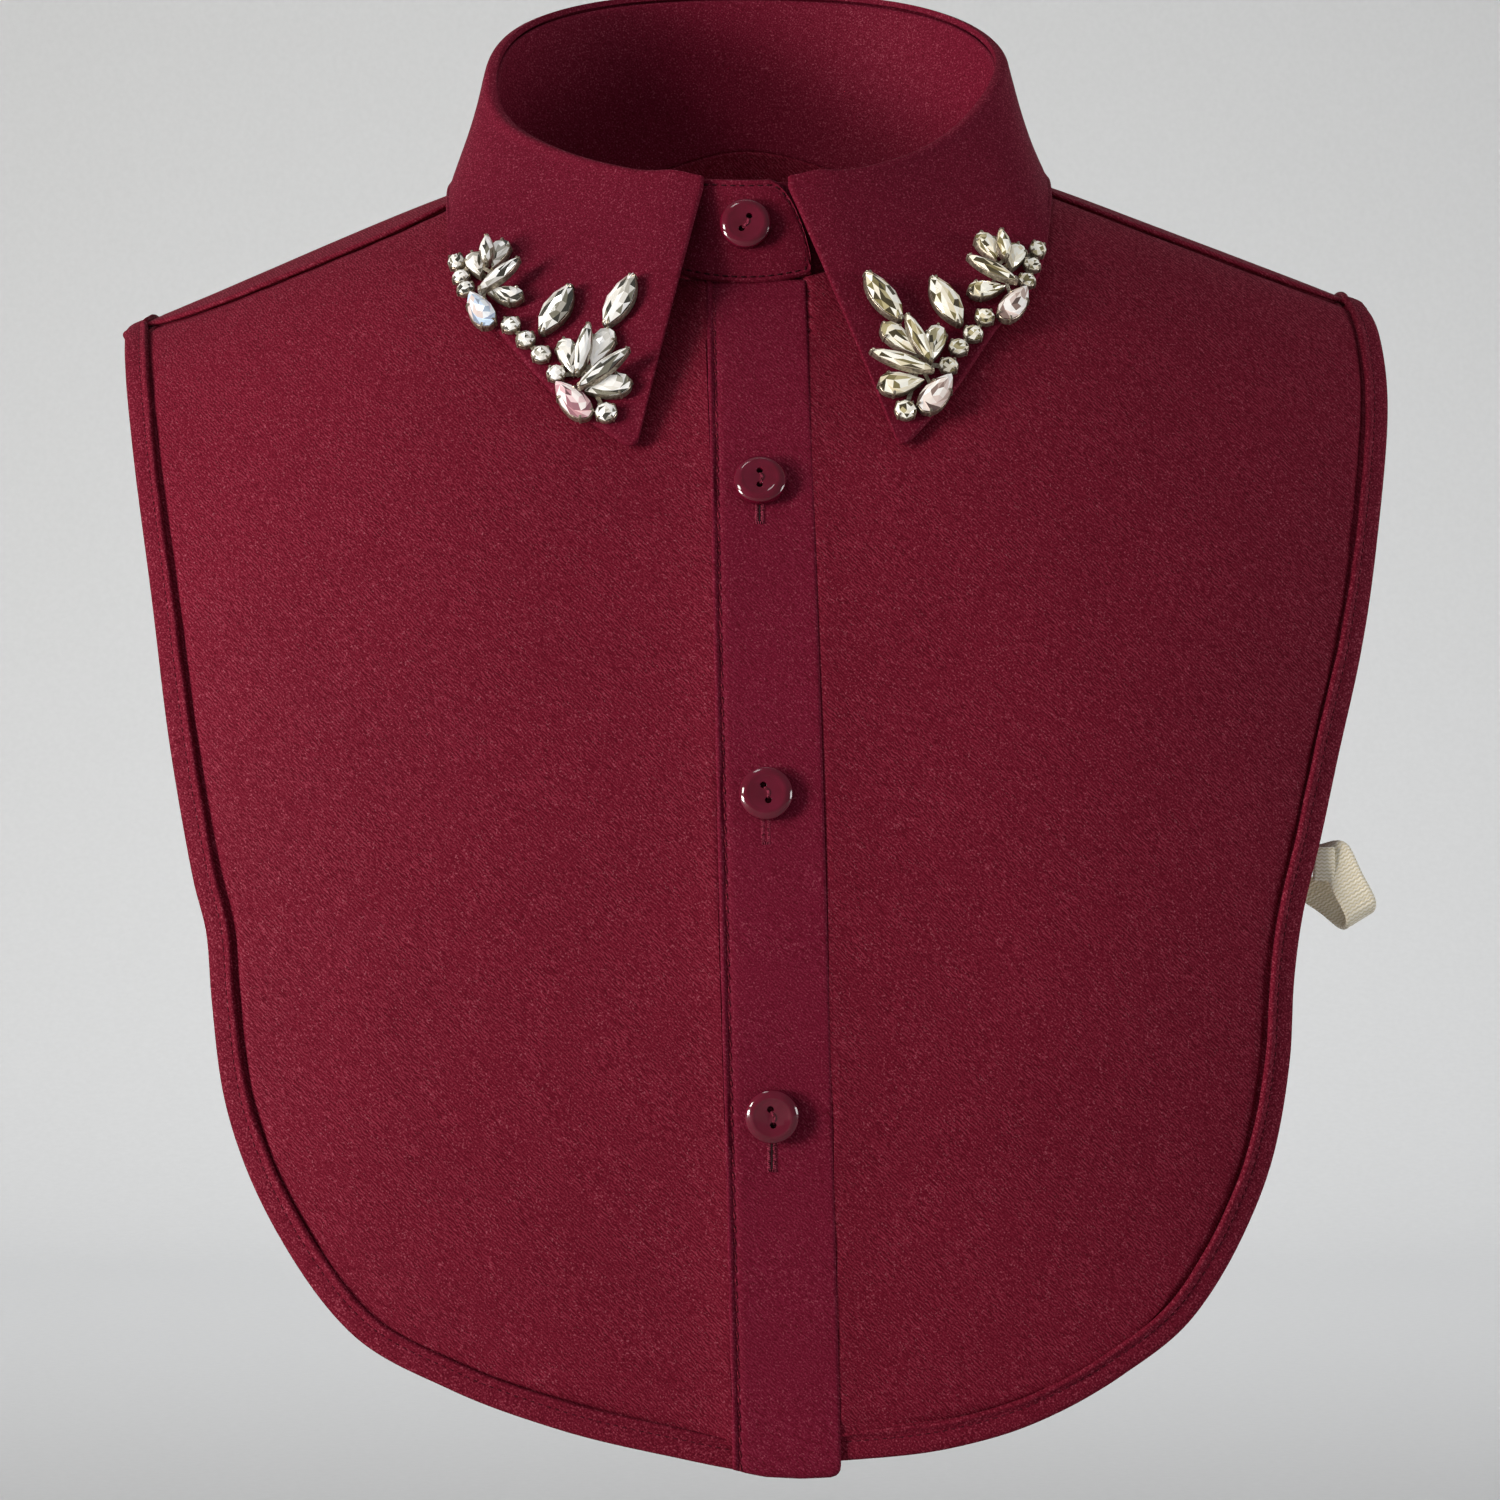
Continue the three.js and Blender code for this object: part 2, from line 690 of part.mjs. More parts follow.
function bindings() {
  const rightEnd = shareWhereX(frontRight, placketEdges.bottom.right - 2 * fitGap);
  const leftEnd = shareWhereX(frontLeft, placketEdges.bottom.left + 2 * fitGap);
  const right = bindingSheet(frontRight, 0, rightEnd, binding.frontSteps);
  const left = bindingSheet(frontLeft, 0, leftEnd, binding.frontSteps);
  const back = bindingSheet(backWhole, 0, 1, binding.backSteps);
  const solid = (sheet) => sheetSolid(sheet, -binding.below, binding.above);
  return { right: solid(right), left: solid(left), back: solid(back) };
}

function placketX(z, side) {
  const share = (placket.topZ - z) / (placket.topZ - placket.bottomZ);
  return mix(placketEdges.top[side], placketEdges.bottom[side], share);
}

function placketSheet() {
  return gridSheet(2, placket.rows, (u, v) => {
    const z = mix(placket.topZ, placket.bottomZ, v);
    const x = mix(placketX(z, 'right'), placketX(z, 'left'), u);
    return onBody({ x, q: qAtHeight(x, z, true) });
  });
}

// Collar

const { smoothstep, euclideanModulo } = THREE.MathUtils;
const fromFront = (angle) => Math.abs(euclideanModulo(angle + 180, 360) - 180);

// How far the layers are lifted outwards at the front, where the ends of the stand overlap
function frontLift(angle) {
  const { fullAngle, noneAngle, height } = overlapLift;
  const share = smoothstep(Math.abs(angle), fullAngle, noneAngle);
  return height * (1 - share);
}

// The stand at an angle round the neck: its foot, its top, and its directions up and outwards
function standLine(angle) {
  const turned = radians(angle);
  const neck = neckPlace(angle);
  const foot = bodyPoint(neck.x, neck.q);
  const y = fold.centreY - fold.halfDepth * Math.cos(turned);
  const { tilt, dip } = fold;
  const level = fold.sideZ + fold.rise * y - fold.ease * Math.max(y, 0) ** 2;
  const leaning = tilt.height * Math.sin(turned) * Math.exp(-(((y - tilt.y) / tilt.spread) ** 2));
  const dipped = dip.depth * smoothstep(fromFront(angle), dip.fromAngle, dip.toAngle);
  const z = level + leaning - dipped;
  const top = new THREE.Vector3(fold.halfWidth * Math.sin(turned), y, z);
  const up = top.clone().sub(foot).normalize();
  const around = new THREE.Vector3(Math.cos(turned), Math.sin(turned), 0);
  const out = around.cross(up).normalize();
  const lean = Math.max(bodyNormal(neck.x, neck.q).dot(up), 0);
  foot.addScaledVector(up, stand.footGap + clothWall * lean);
  return { foot, top, up, out };
}

function standSheet() {
  const turn = 360 + stand.overAngle + stand.underAngle;
  const endShare = (distance) => {
    const left = Math.max(1 - distance / stand.endLength, 0);
    return (1 - left ** stand.endRoundness) ** (1 / stand.endRoundness);
  };
  const perDegree = (Math.PI * (fold.halfWidth + fold.halfDepth)) / 360;
  return gridSheet(stand.columns, 1, (u, v) => {
    const angle = stand.overAngle - turn * u;
    const { foot, top, out } = standLine(angle);
    const fromEnd = Math.min(u, 1 - u) * turn * perDegree;
    const height = Math.max(endShare(fromEnd), stand.endLeast);
    const lift = u < 0.5 ? frontLift(angle) : 0;
    const point = foot.lerp(top, v * height).addScaledVector(out, lift);
    return { point, normal: out };
  });
}

function leafEdgeCurve() {
  const raised = (x, q) => bodyPoint(x, q).addScaledVector(bodyNormal(x, q), leaf.clearance);
  const spot = ({ x, y, z }) =>
    z === undefined ? raised(x, qAtDepth(x, y)) : raisedOnBody(x, z, leaf.clearance).point;
  const right = leafEdge.map((row) => spot(row.right));
  const left = leafEdge.map((row) => spot(row.left)).reverse();
  const back = raised(0, qAtDepth(0, leafBackY));
  return new THREE.CatmullRomCurve3([...right, back, ...left], false, 'centripetal');
}

const leafEdgeLine = leafEdgeCurve();

// A place in the middle of the leaf's cloth: u runs from the right point round the back to the
// left one, v from the fold down to the edge
function leafMiddle(u, v) {
  const start = -leaf.frontAngle;
  const angle = mix(start, start - (360 - 2 * leaf.frontAngle), u);
  const { top, up, out } = standLine(angle);
  const away = fromFront(angle);
  const lift = frontLift(away);
  const risen = smoothstep(away, leafEnd.rises.from, leafEnd.rises.to);
  const turnedIn = smoothstep(away, leafEnd.turnsIn.from, leafEnd.turnsIn.to);
  const place = (row) => top.clone()
    .addScaledVector(out, lift + mix(leafEnd[row].out, leaf[row].out, turnedIn))
    .addScaledVector(up, mix(leafEnd[row].up, leaf[row].up, risen));
  const overStand = place('over');
  const crest = place('crest');
  const fall = place('fall');
  const { bend } = leaf;
  if (v <= bend / 2) return overStand.lerp(crest, v / (bend / 2));
  if (v <= bend) return crest.lerp(fall, (v - bend / 2) / (bend / 2));
  const share = (v - bend) / (1 - bend);
  const point = fall.clone().lerp(leafEdgeLine.getPointAt(u), share);
  point.addScaledVector(out, leaf.belly * Math.sin(Math.PI * share));
  return liftOffBody(point, leaf.clearance);
}

function leafNormal(u, v) {
  const step = 0.012;
  const alongU = leafMiddle(Math.min(u + step, 1), v).sub(leafMiddle(Math.max(u - step, 0), v));
  const alongV = leafMiddle(u, Math.min(v + step, 1)).sub(leafMiddle(u, Math.max(v - step, 0)));
  return alongU.cross(alongV).normalize();
}

function leafSheet() {
  const stops = [0, leaf.bend / 2];
  for (let row = 0; row <= leaf.rows - 2; row += 1) stops.push(mix(leaf.bend, 1, row / (leaf.rows - 2)));
  return gridSheet(leaf.columns, leaf.rows, (u, v) => {
    const stop = stops[Math.round(v * leaf.rows)];
    return { point: leafMiddle(u, stop), normal: leafNormal(u, stop) };
  });
}

// Buttons

function buttonGeometry(turn) {
  const { radius, height, edgeRound, rimFrom, rimTo, dish, holeRadius, holePitch } = button;
  const profile = [
    [0, 0],
    [radius - edgeRound, 0],
    [radius, edgeRound],
    [radius, height - edgeRound],
    [(radius + rimTo) / 2, height - edgeRound / 8],
    [rimTo, height],
    [rimFrom, height - dish],
    [0, height - dish],
  ].map(([x, y]) => new THREE.Vector2(x, y));
  let solid = toManifold(new THREE.LatheGeometry(profile, 24));
  for (const side of [-1, 1]) {
    const hole = new THREE.CylinderGeometry(holeRadius, holeRadius, 3 * height, 10);
    hole.translate(0, 0, (side * holePitch) / 2);
    solid = solid.subtract(toManifold(hole));
  }
  const geometry = fromManifold(solid);
  geometry.rotateX(Math.PI / 2);
  geometry.rotateZ(radians(turn));
  return geometry;
}

// A frame with its Z along a normal and its Y as near upright as the normal lets it be
function uprightFrame(point, normal) {
  const across = new THREE.Vector3(0, 0, 1).cross(normal).normalize();
  const upward = normal.clone().cross(across);
  return new THREE.Matrix4().makeBasis(across, upward, normal).setPosition(point);
}

// The frame of a button whose face shows at x and z from the front
function buttonFrame({ x, z }) {
  if (z < standLine(0).foot.z) {
    const lift = clothWall + placket.lift + placket.wall + fitGap;
    const { point, normal } = raisedOnBody(x, z, lift + button.height);
    return uprightFrame(point.addScaledVector(normal, -button.height), normal);
  }
  const line = standLine(THREE.MathUtils.radToDeg(Math.asin(x / neckLoop.halfWidth)));
  const lift = overlapLift.height + stand.wall + fitGap;
  const footZ = line.foot.z + line.out.z * (lift + button.height);
  const share = (z - footZ) / (line.top.z - line.foot.z);
  const point = line.foot.clone().lerp(line.top, share);
  return uprightFrame(point.addScaledVector(line.out, lift), line.out);
}

// Straps

function ribbonSheet(points, widthDirection, width, steps) {
  const curve = new THREE.CatmullRomCurve3(points, false, 'centripetal');
  return gridSheet(1, steps, (u, v) => {
    const point = curve.getPointAt(v).addScaledVector(widthDirection, (u - 0.5) * width);
    const normal = curve.getTangentAt(v).cross(widthDirection).normalize();
    return { point, normal };
  });
}

// The strap's place just behind the cloth, a distance in from the outer edge
function behindEdge(edge, z, distance) {
  let low = 0;
  let high = edge.corner;
  for (let turn = 0; turn < 40; turn += 1) {
    const middle = (low + high) / 2;
    const spot = edge.place(middle);
    if (bodyPoint(spot.x, spot.q).z > z) low = middle;
    else high = middle;
  }
  const { point, normal } = onBody(insetPlace(edge, low, distance));
  point.addScaledVector(normal, -strap.behind);
  point.z = z;
  return point;
}

function sideStrap(front, back) {
  const { sewn, frontZ, backZ } = strap;
  const free = strapSide.map(
    ({ share, out, y }) => new THREE.Vector3(front.side * out, y, mix(frontZ, backZ, share)),
  );
  const path = [
    behindEdge(front, frontZ, sewn),
    behindEdge(front, frontZ, sewn / 4),
    ...free,
    behindEdge(back, backZ, sewn / 4),
    behindEdge(back, backZ, sewn),
  ];
  const sheet = ribbonSheet(path, new THREE.Vector3(0, 0, 1), strap.width, strap.steps);
  return sheetSolid(sheet, -strap.wall / 2, strap.wall / 2);
}

function loopOfStrap() {
  const path = strapLoopPath.map(({ x, y, z }) => new THREE.Vector3(x, y, z));
  const { x: acrossX, y: acrossY, z: acrossZ } = strapLoop.across;
  const across = new THREE.Vector3(acrossX, acrossY, acrossZ).normalize();
  const sheet = ribbonSheet(path, across, strapLoop.width, strapLoop.steps);
  return sheetSolid(sheet, -strapLoop.wall / 2, strapLoop.wall / 2);
}

// Crystals and their settings

// Outlines of the cuts, from -1 to 1 both ways: how sharp each point is, and how full its belly
const taper = {
  navette: { power: 0.7, full: 1 },
  pear: { power: 1.1, full: 1.2 },
  drop: { power: 0.6, full: 1.12 },
};
const outlineOf = (shape, angle) => {
  if (shape === 'round') return [Math.cos(angle), Math.sin(angle)];
  const { power, full } = taper[shape];
  const hasTwoPoints = shape === 'navette';
  const near = Math.abs(Math.sin(hasTwoPoints ? angle : angle / 2)) ** power;
  return [(hasTwoPoints ? 1 : -1) * Math.cos(angle), Math.sin(angle) * near * full];
};

function stoneRing({ shape, length, width }, scale, height, growth = 0) {
  const ring = [];
  for (let i = 0; i < crystal.corners; i += 1) {
    const [x, y] = outlineOf(shape, (i / crystal.corners) * 2 * Math.PI);
    const long = (length / 2 + growth) * scale;
    const wide = (width / 2 + growth) * scale;
    ring.push(new THREE.Vector3(x * long, y * wide, height));
  }
  return shape === 'pear' || shape === 'drop' ? ring.reverse() : ring;
}

function stoneGeometry(stone) {
  const from = crystal.foot + stone.tier * crystal.tierStep;
  return ringSolid([
    stoneRing(stone, crystal.footScale, from),
    stoneRing(stone, 1, from + crystal.girdle * crystal.height),
    stoneRing(stone, crystal.tableScale, from + crystal.height),
  ]);
}

// The place on the leaf that shows at x and z from the front, found by a closing search
function leafPlaceAt(x, z) {
  const span = 0.35; // the leaf's points lie within this share of u from either end
  const fromU = x < 0 ? 0 : 1 - span;
  const miss = (u, v) => {
    const point = leafMiddle(u, v);
    return Math.hypot(point.x - x, point.z - z);
  };
  let best = { u: fromU, v: 0.5, miss: Infinity };
  const attempt = (u, v) => {
    if (u < 0 || u > 1 || v < 0.1 || v > 1) return;
    const found = miss(u, v);
    if (found < best.miss) best = { u, v, miss: found };
  };
  for (let column = 0; column <= 35; column += 1) {
    for (let row = 4; row <= 20; row += 1) attempt(fromU + (span * column) / 35, row / 20);
  }
  for (let step = 0.01; step > 1e-5; step /= 2) {
    for (let turn = 0; turn < 3; turn += 1) {
      const { u, v } = best;
      attempt(u - step / 2, v);
      attempt(u + step / 2, v);
      attempt(u, v - 4 * step);
      attempt(u, v + 4 * step);
    }
  }
  return best;
}

// The frame of a stone on the leaf, X the way it points and Z out of the cloth, placed so that
// the stone's face, at this height over the cloth, shows at x and z from the front
function leafFrame({ x, z, turn }, height = 0) {
  const aim = { x, z };
  let point;
  let normal;
  for (let round = 0; round < 3; round += 1) {
    const { u, v } = leafPlaceAt(aim.x, aim.z);
    normal = leafNormal(u, v);
    point = leafMiddle(u, v).addScaledVector(normal, leaf.wall / 2);
    aim.x += x - point.x - normal.x * height;
    aim.z += z - point.z - normal.z * height;
  }
  const along = new THREE.Vector3(Math.cos(radians(turn)), 0, Math.sin(radians(turn)));
  along.y = -(normal.x * along.x + normal.z * along.z) / normal.y;
  along.normalize();
  const across = normal.clone().cross(along);
  return new THREE.Matrix4().makeBasis(along, across, normal).setPosition(point);
}

const stoneFrame = (stone, side) =>
  leafFrame(stone[side], crystal.faceHeight + stone.tier * crystal.tierStep);
const studFrame = (stud, side) => leafFrame(stud[side], setting.faceHeight);

// A flat bar between two points, as wide and thick as a setting's arm
function armSolid(from, to, normal) {
  const along = to.clone().sub(from);
  const half = along.length() / 2;
  const across = normal.clone().cross(along).normalize();
  const upward = along.clone().normalize().cross(across);
  const thick = setting.to - setting.from;
  const box = new THREE.BoxGeometry(2 * half, setting.armWidth, thick);
  const frame = new THREE.Matrix4().makeBasis(along.clone().normalize(), across, upward);
  box.applyMatrix4(frame.setPosition(from.clone().lerp(to, 0.5)));
  return toManifold(box);
}

function plateSolid(stone, frame) {
  const lift = stone.tier * crystal.tierStep;
  const from = setting.from + lift;
  const to = setting.to + lift;
  const rings = [from, to].map((height) => stoneRing(stone, setting.plateScale, height, setting.margin));
  return toManifold(ringSolid(rings).applyMatrix4(frame));
}

function studSolid(stud, frame) {
  const round = { ...stud, shape: 'round' };
  const rings = [
    stoneRing(round, 1, setting.from),
    stoneRing(round, 1, setting.studTop - setting.studBevel),
    stoneRing(round, setting.studTable, setting.studTop),
  ];
  return toManifold(ringSolid(rings).applyMatrix4(frame));
}

const armHeight = (setting.from + setting.to) / 2;
const spotOver = (frame, height) => new THREE.Vector3(0, 0, height).applyMatrix4(frame);
const normalOf = (frame) => new THREE.Vector3().setFromMatrixColumn(frame, 2);

// The plates of a motif, carried by arms from a post in its middle
function motifSolid(group, side) {
  const hub = leafFrame(hubs[group][side]);
  const top = setting.to + crystal.tierStep;
  const post = { shape: 'round', length: 2 * setting.hubRadius, width: 2 * setting.hubRadius };
  const rings = [setting.from, top].map((height) => stoneRing(post, 1, height));
  let solid = toManifold(ringSolid(rings).applyMatrix4(hub));
  for (const stone of stones.filter((row) => row.group === group)) {
    const frame = stoneFrame(stone, side);
    const height = armHeight + stone.tier * crystal.tierStep;
    solid = solid.add(plateSolid(stone, frame));
    solid = solid.add(armSolid(spotOver(hub, height), spotOver(frame, height), normalOf(frame)));
  }
  let last = spotOver(hub, armHeight);
  for (const stud of studs.filter((row) => row.group === group).reverse()) {
    const frame = studFrame(stud, side);
    const here = spotOver(frame, armHeight);
    if (group === 'lower') last = spotOver(hub, armHeight); // these two stand on either side
    solid = solid.add(studSolid(stud, frame)).add(armSolid(last, here, normalOf(frame)));
    last = here;
  }
  return fromManifold(solid);
}

function chainSolid(side) {
  const frames = studs
    .filter((row) => row.group === 'chain')
    .map((row) => ({ stud: row, frame: studFrame(row, side) }));
  let solid = studSolid(frames[0].stud, frames[0].frame);
  for (let i = 1; i < frames.length; i += 1) {
    const { stud, frame } = frames[i];
    const from = spotOver(frames[i - 1].frame, armHeight);
    solid = solid.add(studSolid(stud, frame));
    solid = solid.add(armSolid(from, spotOver(frame, armHeight), normalOf(frame)));
  }
  return fromManifold(solid);
}

function aloneSolid(stone) {
  return ringSolid([
    stoneRing(stone, crystal.bedScale, setting.from),
    stoneRing(stone, 1, crystal.foot + crystal.girdle * crystal.height),
    stoneRing(stone, crystal.tableScale, crystal.foot + crystal.height),
  ]);
}

// The scene

const model = new THREE.Group();

function addPiece(name, geometry, colour, roughness = 0.85, metalness = 0) {
  const material = new THREE.MeshStandardMaterial({ color: colour, roughness, metalness });
  const mesh = new THREE.Mesh(geometry, material);
  mesh.name = name;
  model.add(mesh);
  return mesh;
}

const panels = frontPanels();
addPiece('front_panel_right', panels.right, colours.crepeFront);
addPiece('front_panel_left', panels.left, colours.crepeFront);
addPiece('back_panel', backPanel(), colours.crepeFront);
const bound = bindings();
addPiece('binding_right', bound.right, colours.crepeFront);
addPiece('binding_left', bound.left, colours.crepeFront);
addPiece('binding_back', bound.back, colours.crepeFront);
const placketFrom = clothWall + placket.lift;
const placketSolid = sheetSolid(placketSheet(), placketFrom, placketFrom + placket.wall);
addPiece('placket', placketSolid, colours.crepePlacket);
addPiece('collar_stand', sheetSolid(standSheet(), 0, stand.wall), colours.crepeCollar);
const leafSolid = sheetSolid(leafSheet(), -leaf.wall / 2, leaf.wall / 2);
addPiece('collar_leaf', leafSolid, colours.crepeCollar);

for (const spot of buttonSpots) {
  const piece = addPiece(spot.name, buttonGeometry(spot.turn), colours.button, 0.2);
  piece.applyMatrix4(buttonFrame(spot));
}

addPiece('side_strap_right', sideStrap(frontRight, backRight), colours.elastic);
addPiece('side_strap_left', sideStrap(frontLeft, backLeft), colours.elastic);
addPiece('strap_loop_left', loopOfStrap(), colours.elastic);

for (const side of ['right', 'left']) {
  for (const group of ['upper', 'lower']) {
    addPiece(`settings_${group}_${side}`, motifSolid(group, side), colours.silver, 0.3, 1);
  }
  addPiece(`chain_${side}`, chainSolid(side), colours.silver, 0.3, 1);
  for (const stone of stones) {
    const geometry = stone.group === 'alone' ? aloneSolid(stone) : stoneGeometry(stone);
    const piece = addPiece(`crystal_${stone.name}_${side}`, geometry, colours.crystal, 0.05);
    piece.applyMatrix4(stoneFrame(stone, side));
  }
}

export default model;
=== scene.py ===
import math

import bpy
import numpy as np
from mathutils import Matrix, Vector


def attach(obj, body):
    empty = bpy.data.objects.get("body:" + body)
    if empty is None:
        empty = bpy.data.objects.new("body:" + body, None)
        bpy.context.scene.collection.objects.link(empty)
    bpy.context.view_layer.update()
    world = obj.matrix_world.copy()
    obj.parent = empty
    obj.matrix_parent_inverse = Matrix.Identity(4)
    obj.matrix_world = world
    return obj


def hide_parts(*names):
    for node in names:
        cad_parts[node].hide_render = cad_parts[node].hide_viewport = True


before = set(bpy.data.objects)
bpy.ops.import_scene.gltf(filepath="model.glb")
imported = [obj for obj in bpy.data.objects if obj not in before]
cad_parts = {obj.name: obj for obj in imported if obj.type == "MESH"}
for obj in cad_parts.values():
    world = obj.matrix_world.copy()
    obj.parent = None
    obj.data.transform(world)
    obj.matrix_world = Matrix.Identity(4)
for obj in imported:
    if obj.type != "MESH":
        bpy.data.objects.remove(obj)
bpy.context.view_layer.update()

# A detachable bib collar in burgundy crepe with crystal motifs on its points.
# The shapes are worked out in millimetres, +X the viewer's right, -Y out of the chest, +Z up,
# and right and left in the names are the wearer's.
mm = 0.001
scene = bpy.context.scene
print("frame loaded:", len(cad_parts), "nodes")

# Camera: the front of the chest shows at 0.223 mm a pixel of a 1500 pixel square

view = {"x": 0.95, "z": -129.5, "away": 1195, "chestAway": 1100, "perPixel": 0.223}

cameraData = bpy.data.cameras.new("camera")
cameraData.sensor_width = 36
cameraData.sensor_fit = "HORIZONTAL"
cameraData.lens = cameraData.sensor_width * view["chestAway"] / (1500 * view["perPixel"])
camera = bpy.data.objects.new("camera", cameraData)
camera.location = (view["x"] * mm, -view["away"] * mm, view["z"] * mm)
camera.rotation_euler = (math.pi / 2, 0, 0)
scene.collection.objects.link(camera)
scene.camera = camera
scene.view_settings.view_transform = "Standard"


# The body form that the bib hangs on: an arch over the shoulder in each slice across x

body = {
    "topZ": 26.6, "slopeRight": 0.428, "slopeLeft": 0.383, "neckRound": 22,
    "seamY": 8, "neckShift": 36, "neckSpread": 40, "halfWidth": 172, "squareness": 2.8,
    "front": (118, -195, 2.03), "back": (86, -130, 2.4), "hangBack": 0.04,
}
neckLoop = {"halfWidth": 62.5, "halfDepth": 59.5, "centreY": -1.5}
seam = {"q": 0.125, "halfGap": 0.001, "squaring": 0.1, "bow": {-1: 0.075, 1: 0.03},
        "tuck": 0.017, "sunk": 1.15, "flat": 2.4, "rise": 8}


def mix(a, b, share):
    return a + (b - a) * share


def smoothStep(value, start, end):
    share = np.clip((value - start) / (end - start), 0, 1)
    return share * share * (3 - 2 * share)


def unit(vectors):
    return vectors / np.maximum(np.linalg.norm(vectors, axis=-1, keepdims=True), 1e-12)


def stack(x, y, z):
    return np.stack(np.broadcast_arrays(x, y, z), axis=-1)


def archHalf(x, isFront):
    slope = np.where(x < 0, body["slopeRight"], body["slopeLeft"])
    topZ = body["topZ"] - slope * (np.hypot(x, body["neckRound"]) - body["neckRound"])
    topY = body["seamY"] + body["neckShift"] * np.exp(-((x / body["neckSpread"]) ** 2))
    depth, fullZ, power = (np.where(isFront, f, b) for f, b in zip(body["front"], body["back"]))
    fade = (1 - (np.abs(x) / body["halfWidth"]) ** body["squareness"]) ** (1 / body["squareness"])
    reach = depth * fade + np.where(isFront, topY, -topY)
    return topY, topZ, reach, topZ - fullZ, power


def bodyPoint(x, q):
    x, q = np.broadcast_arrays(np.asarray(x, float), np.asarray(q, float))
    isFront = q > 0
    topY, topZ, reach, drop, power = archHalf(x, isFront)
    share = np.minimum(np.abs(q), 1) ** power
    out = reach * (1 - (1 - share) ** power) ** (1 / power)
    below = np.maximum(np.abs(q) - 1, 0) * power * drop
    y = np.where(isFront, topY - out + body["hangBack"] * below, topY + out)
    return stack(x, y, topZ - drop * share - below)


def bodyNormal(x, q, step=0.002):
    alongX = bodyPoint(x + step, q) - bodyPoint(x - step, q)
    alongQ = bodyPoint(x, q + step) - bodyPoint(x, q - step)
    return unit(np.cross(alongQ, alongX))


def qAtHeight(x, z, isFront=True):
    _, topZ, _, drop, power = archHalf(x, isFront)
    share = np.maximum(topZ - z, 0) / drop
    q = np.where(share <= 1, share ** (1 / power), 1 + (share - 1) / power)
    return q if isFront else -q


def qAtDepth(x, y):
    isFront = y < archHalf(x, True)[0]
    topY, _, reach, _, power = archHalf(x, isFront)
    out = np.minimum(np.abs(y - topY) / reach, 1)
    share = 1 - (1 - out ** power) ** (1 / power)
    return np.where(isFront, 1, -1) * share ** (1 / power)


# The place over the body at a height along its normal that shows at x and z from the front
def raisedOnBody(x, z, height):
    spotX, spotZ = x, z
    for _ in range(4):
        q = qAtHeight(spotX, spotZ)
        normal = bodyNormal(spotX, q)
        point = bodyPoint(spotX, q) + normal * height
        spotX, spotZ = spotX + x - point[..., 0], spotZ + z - point[..., 2]
    return point, normal


def liftOffBody(points, clearance):
    q = qAtDepth(points[..., 0], points[..., 1])
    normal = bodyNormal(points[..., 0], q)
    height = ((points - bodyPoint(points[..., 0], q)) * normal).sum(-1)
    return points + normal * np.maximum(clearance - height, 0)[..., None]


# The way along a row of places, up to each of them
def waysAlong(points):
    return np.concatenate([[0], np.linalg.norm(np.diff(points, axis=0), axis=-1).cumsum()])


# A smooth curve through its stops, the same as the solids' own; the stops may be rows of points
def smoothCurve(stops):
    stops = np.asarray(stops, float)
    knots = np.concatenate([[2 * stops[0] - stops[1]], stops, [2 * stops[-1] - stops[-2]]])
    gaps = np.sqrt(np.linalg.norm(np.diff(knots, axis=0), axis=-1, keepdims=True))

    def place(share):
        spot = np.clip(np.asarray(share, float), 0, 1) * (len(stops) - 1)
        k = np.minimum(spot.astype(int), len(stops) - 2)
        w = (spot - k).reshape(spot.shape + (1,) * (stops.ndim - 1))
        p0, p1, p2, p3 = (knots[k + i] for i in range(4))
        d0, d1, d2 = (gaps[k + i] for i in range(3))
        a = ((p1 - p0) / d0 - (p2 - p0) / (d0 + d1) + (p2 - p1) / d1) * d1
        b = ((p2 - p1) / d1 - (p3 - p1) / (d1 + d2) + (p3 - p2) / d2) * d1
        return p1 + a * w + (3 * p2 - 3 * p1 - 2 * a - b) * w ** 2 + (2 * p1 - 2 * p2 + a + b) * w ** 3

    return place


# The same curve by its length
def evenCurve(stops, count=200):
    place = smoothCurve(stops)
    shares = np.linspace(0, 1, count + 1)
    ways = waysAlong(place(shares))
    return lambda share: place(np.interp(share, ways / ways[-1], shares))


# Outer edges of the bib, from the shoulder down the side and round to the middle of the hem

edgeRows = {
    "right": [(149.4, None), (147, -38), (140.8, -63.3), (133.5, -98.6), (128.2, -129.5),
              (122.2, -158.5), (119, -170.5), (117.7, -185), (115.2, -204.8), (110.3, -221),
              (100.2, -240.5), (86.4, -257.8), (64.9, -269.6), (40.7, -278.3), (14, -284.6), (0, -287.3)],
    "left": [(148.4, None), (150, -34), (149, -52.5), (142.6, -88.3), (138.1, -109.1),
             (132, -131.7), (127.6, -149.4), (122.9, -167.5), (121, -181), (120, -198.3),
             (116.6, -218.2), (110, -235.7), (98.6, -254.1), (82.4, -267), (64, -276.8),
             (44.8, -282.4), (20.9, -285), (-6, -285)],
    "back": [(149, None), (147.5, -33), (141, -62), (132, -92), (122.5, -120), (112, -147),
             (97, -170), (76, -187.5), (52, -197), (26, -201), (0, -202)],
}
hemCorner = {"right": 11, "left": 13, "back": 7}  # the row at which the side turns into the hem
qStretch = 100


def edgeSpots(rows, side, isFront):
    seamQ = seam["q"] + (seam["halfGap"] if isFront else -seam["halfGap"])
    return [(side * out, seamQ if z is None else float(qAtHeight(side * out, z, isFront)))
            for out, z in rows]


def edgeCurve(spots, side, corner, inward):
    curve = smoothCurve([(x, q * qStretch) for x, q in spots])

    def place(share):
        spot = curve(share)
        return spot[..., 0], spot[..., 1] / qStretch

    return {"place": place, "corner": corner, "side": side, "inward": inward,
            "seamQ": spots[0][1], "twoSeams": False}


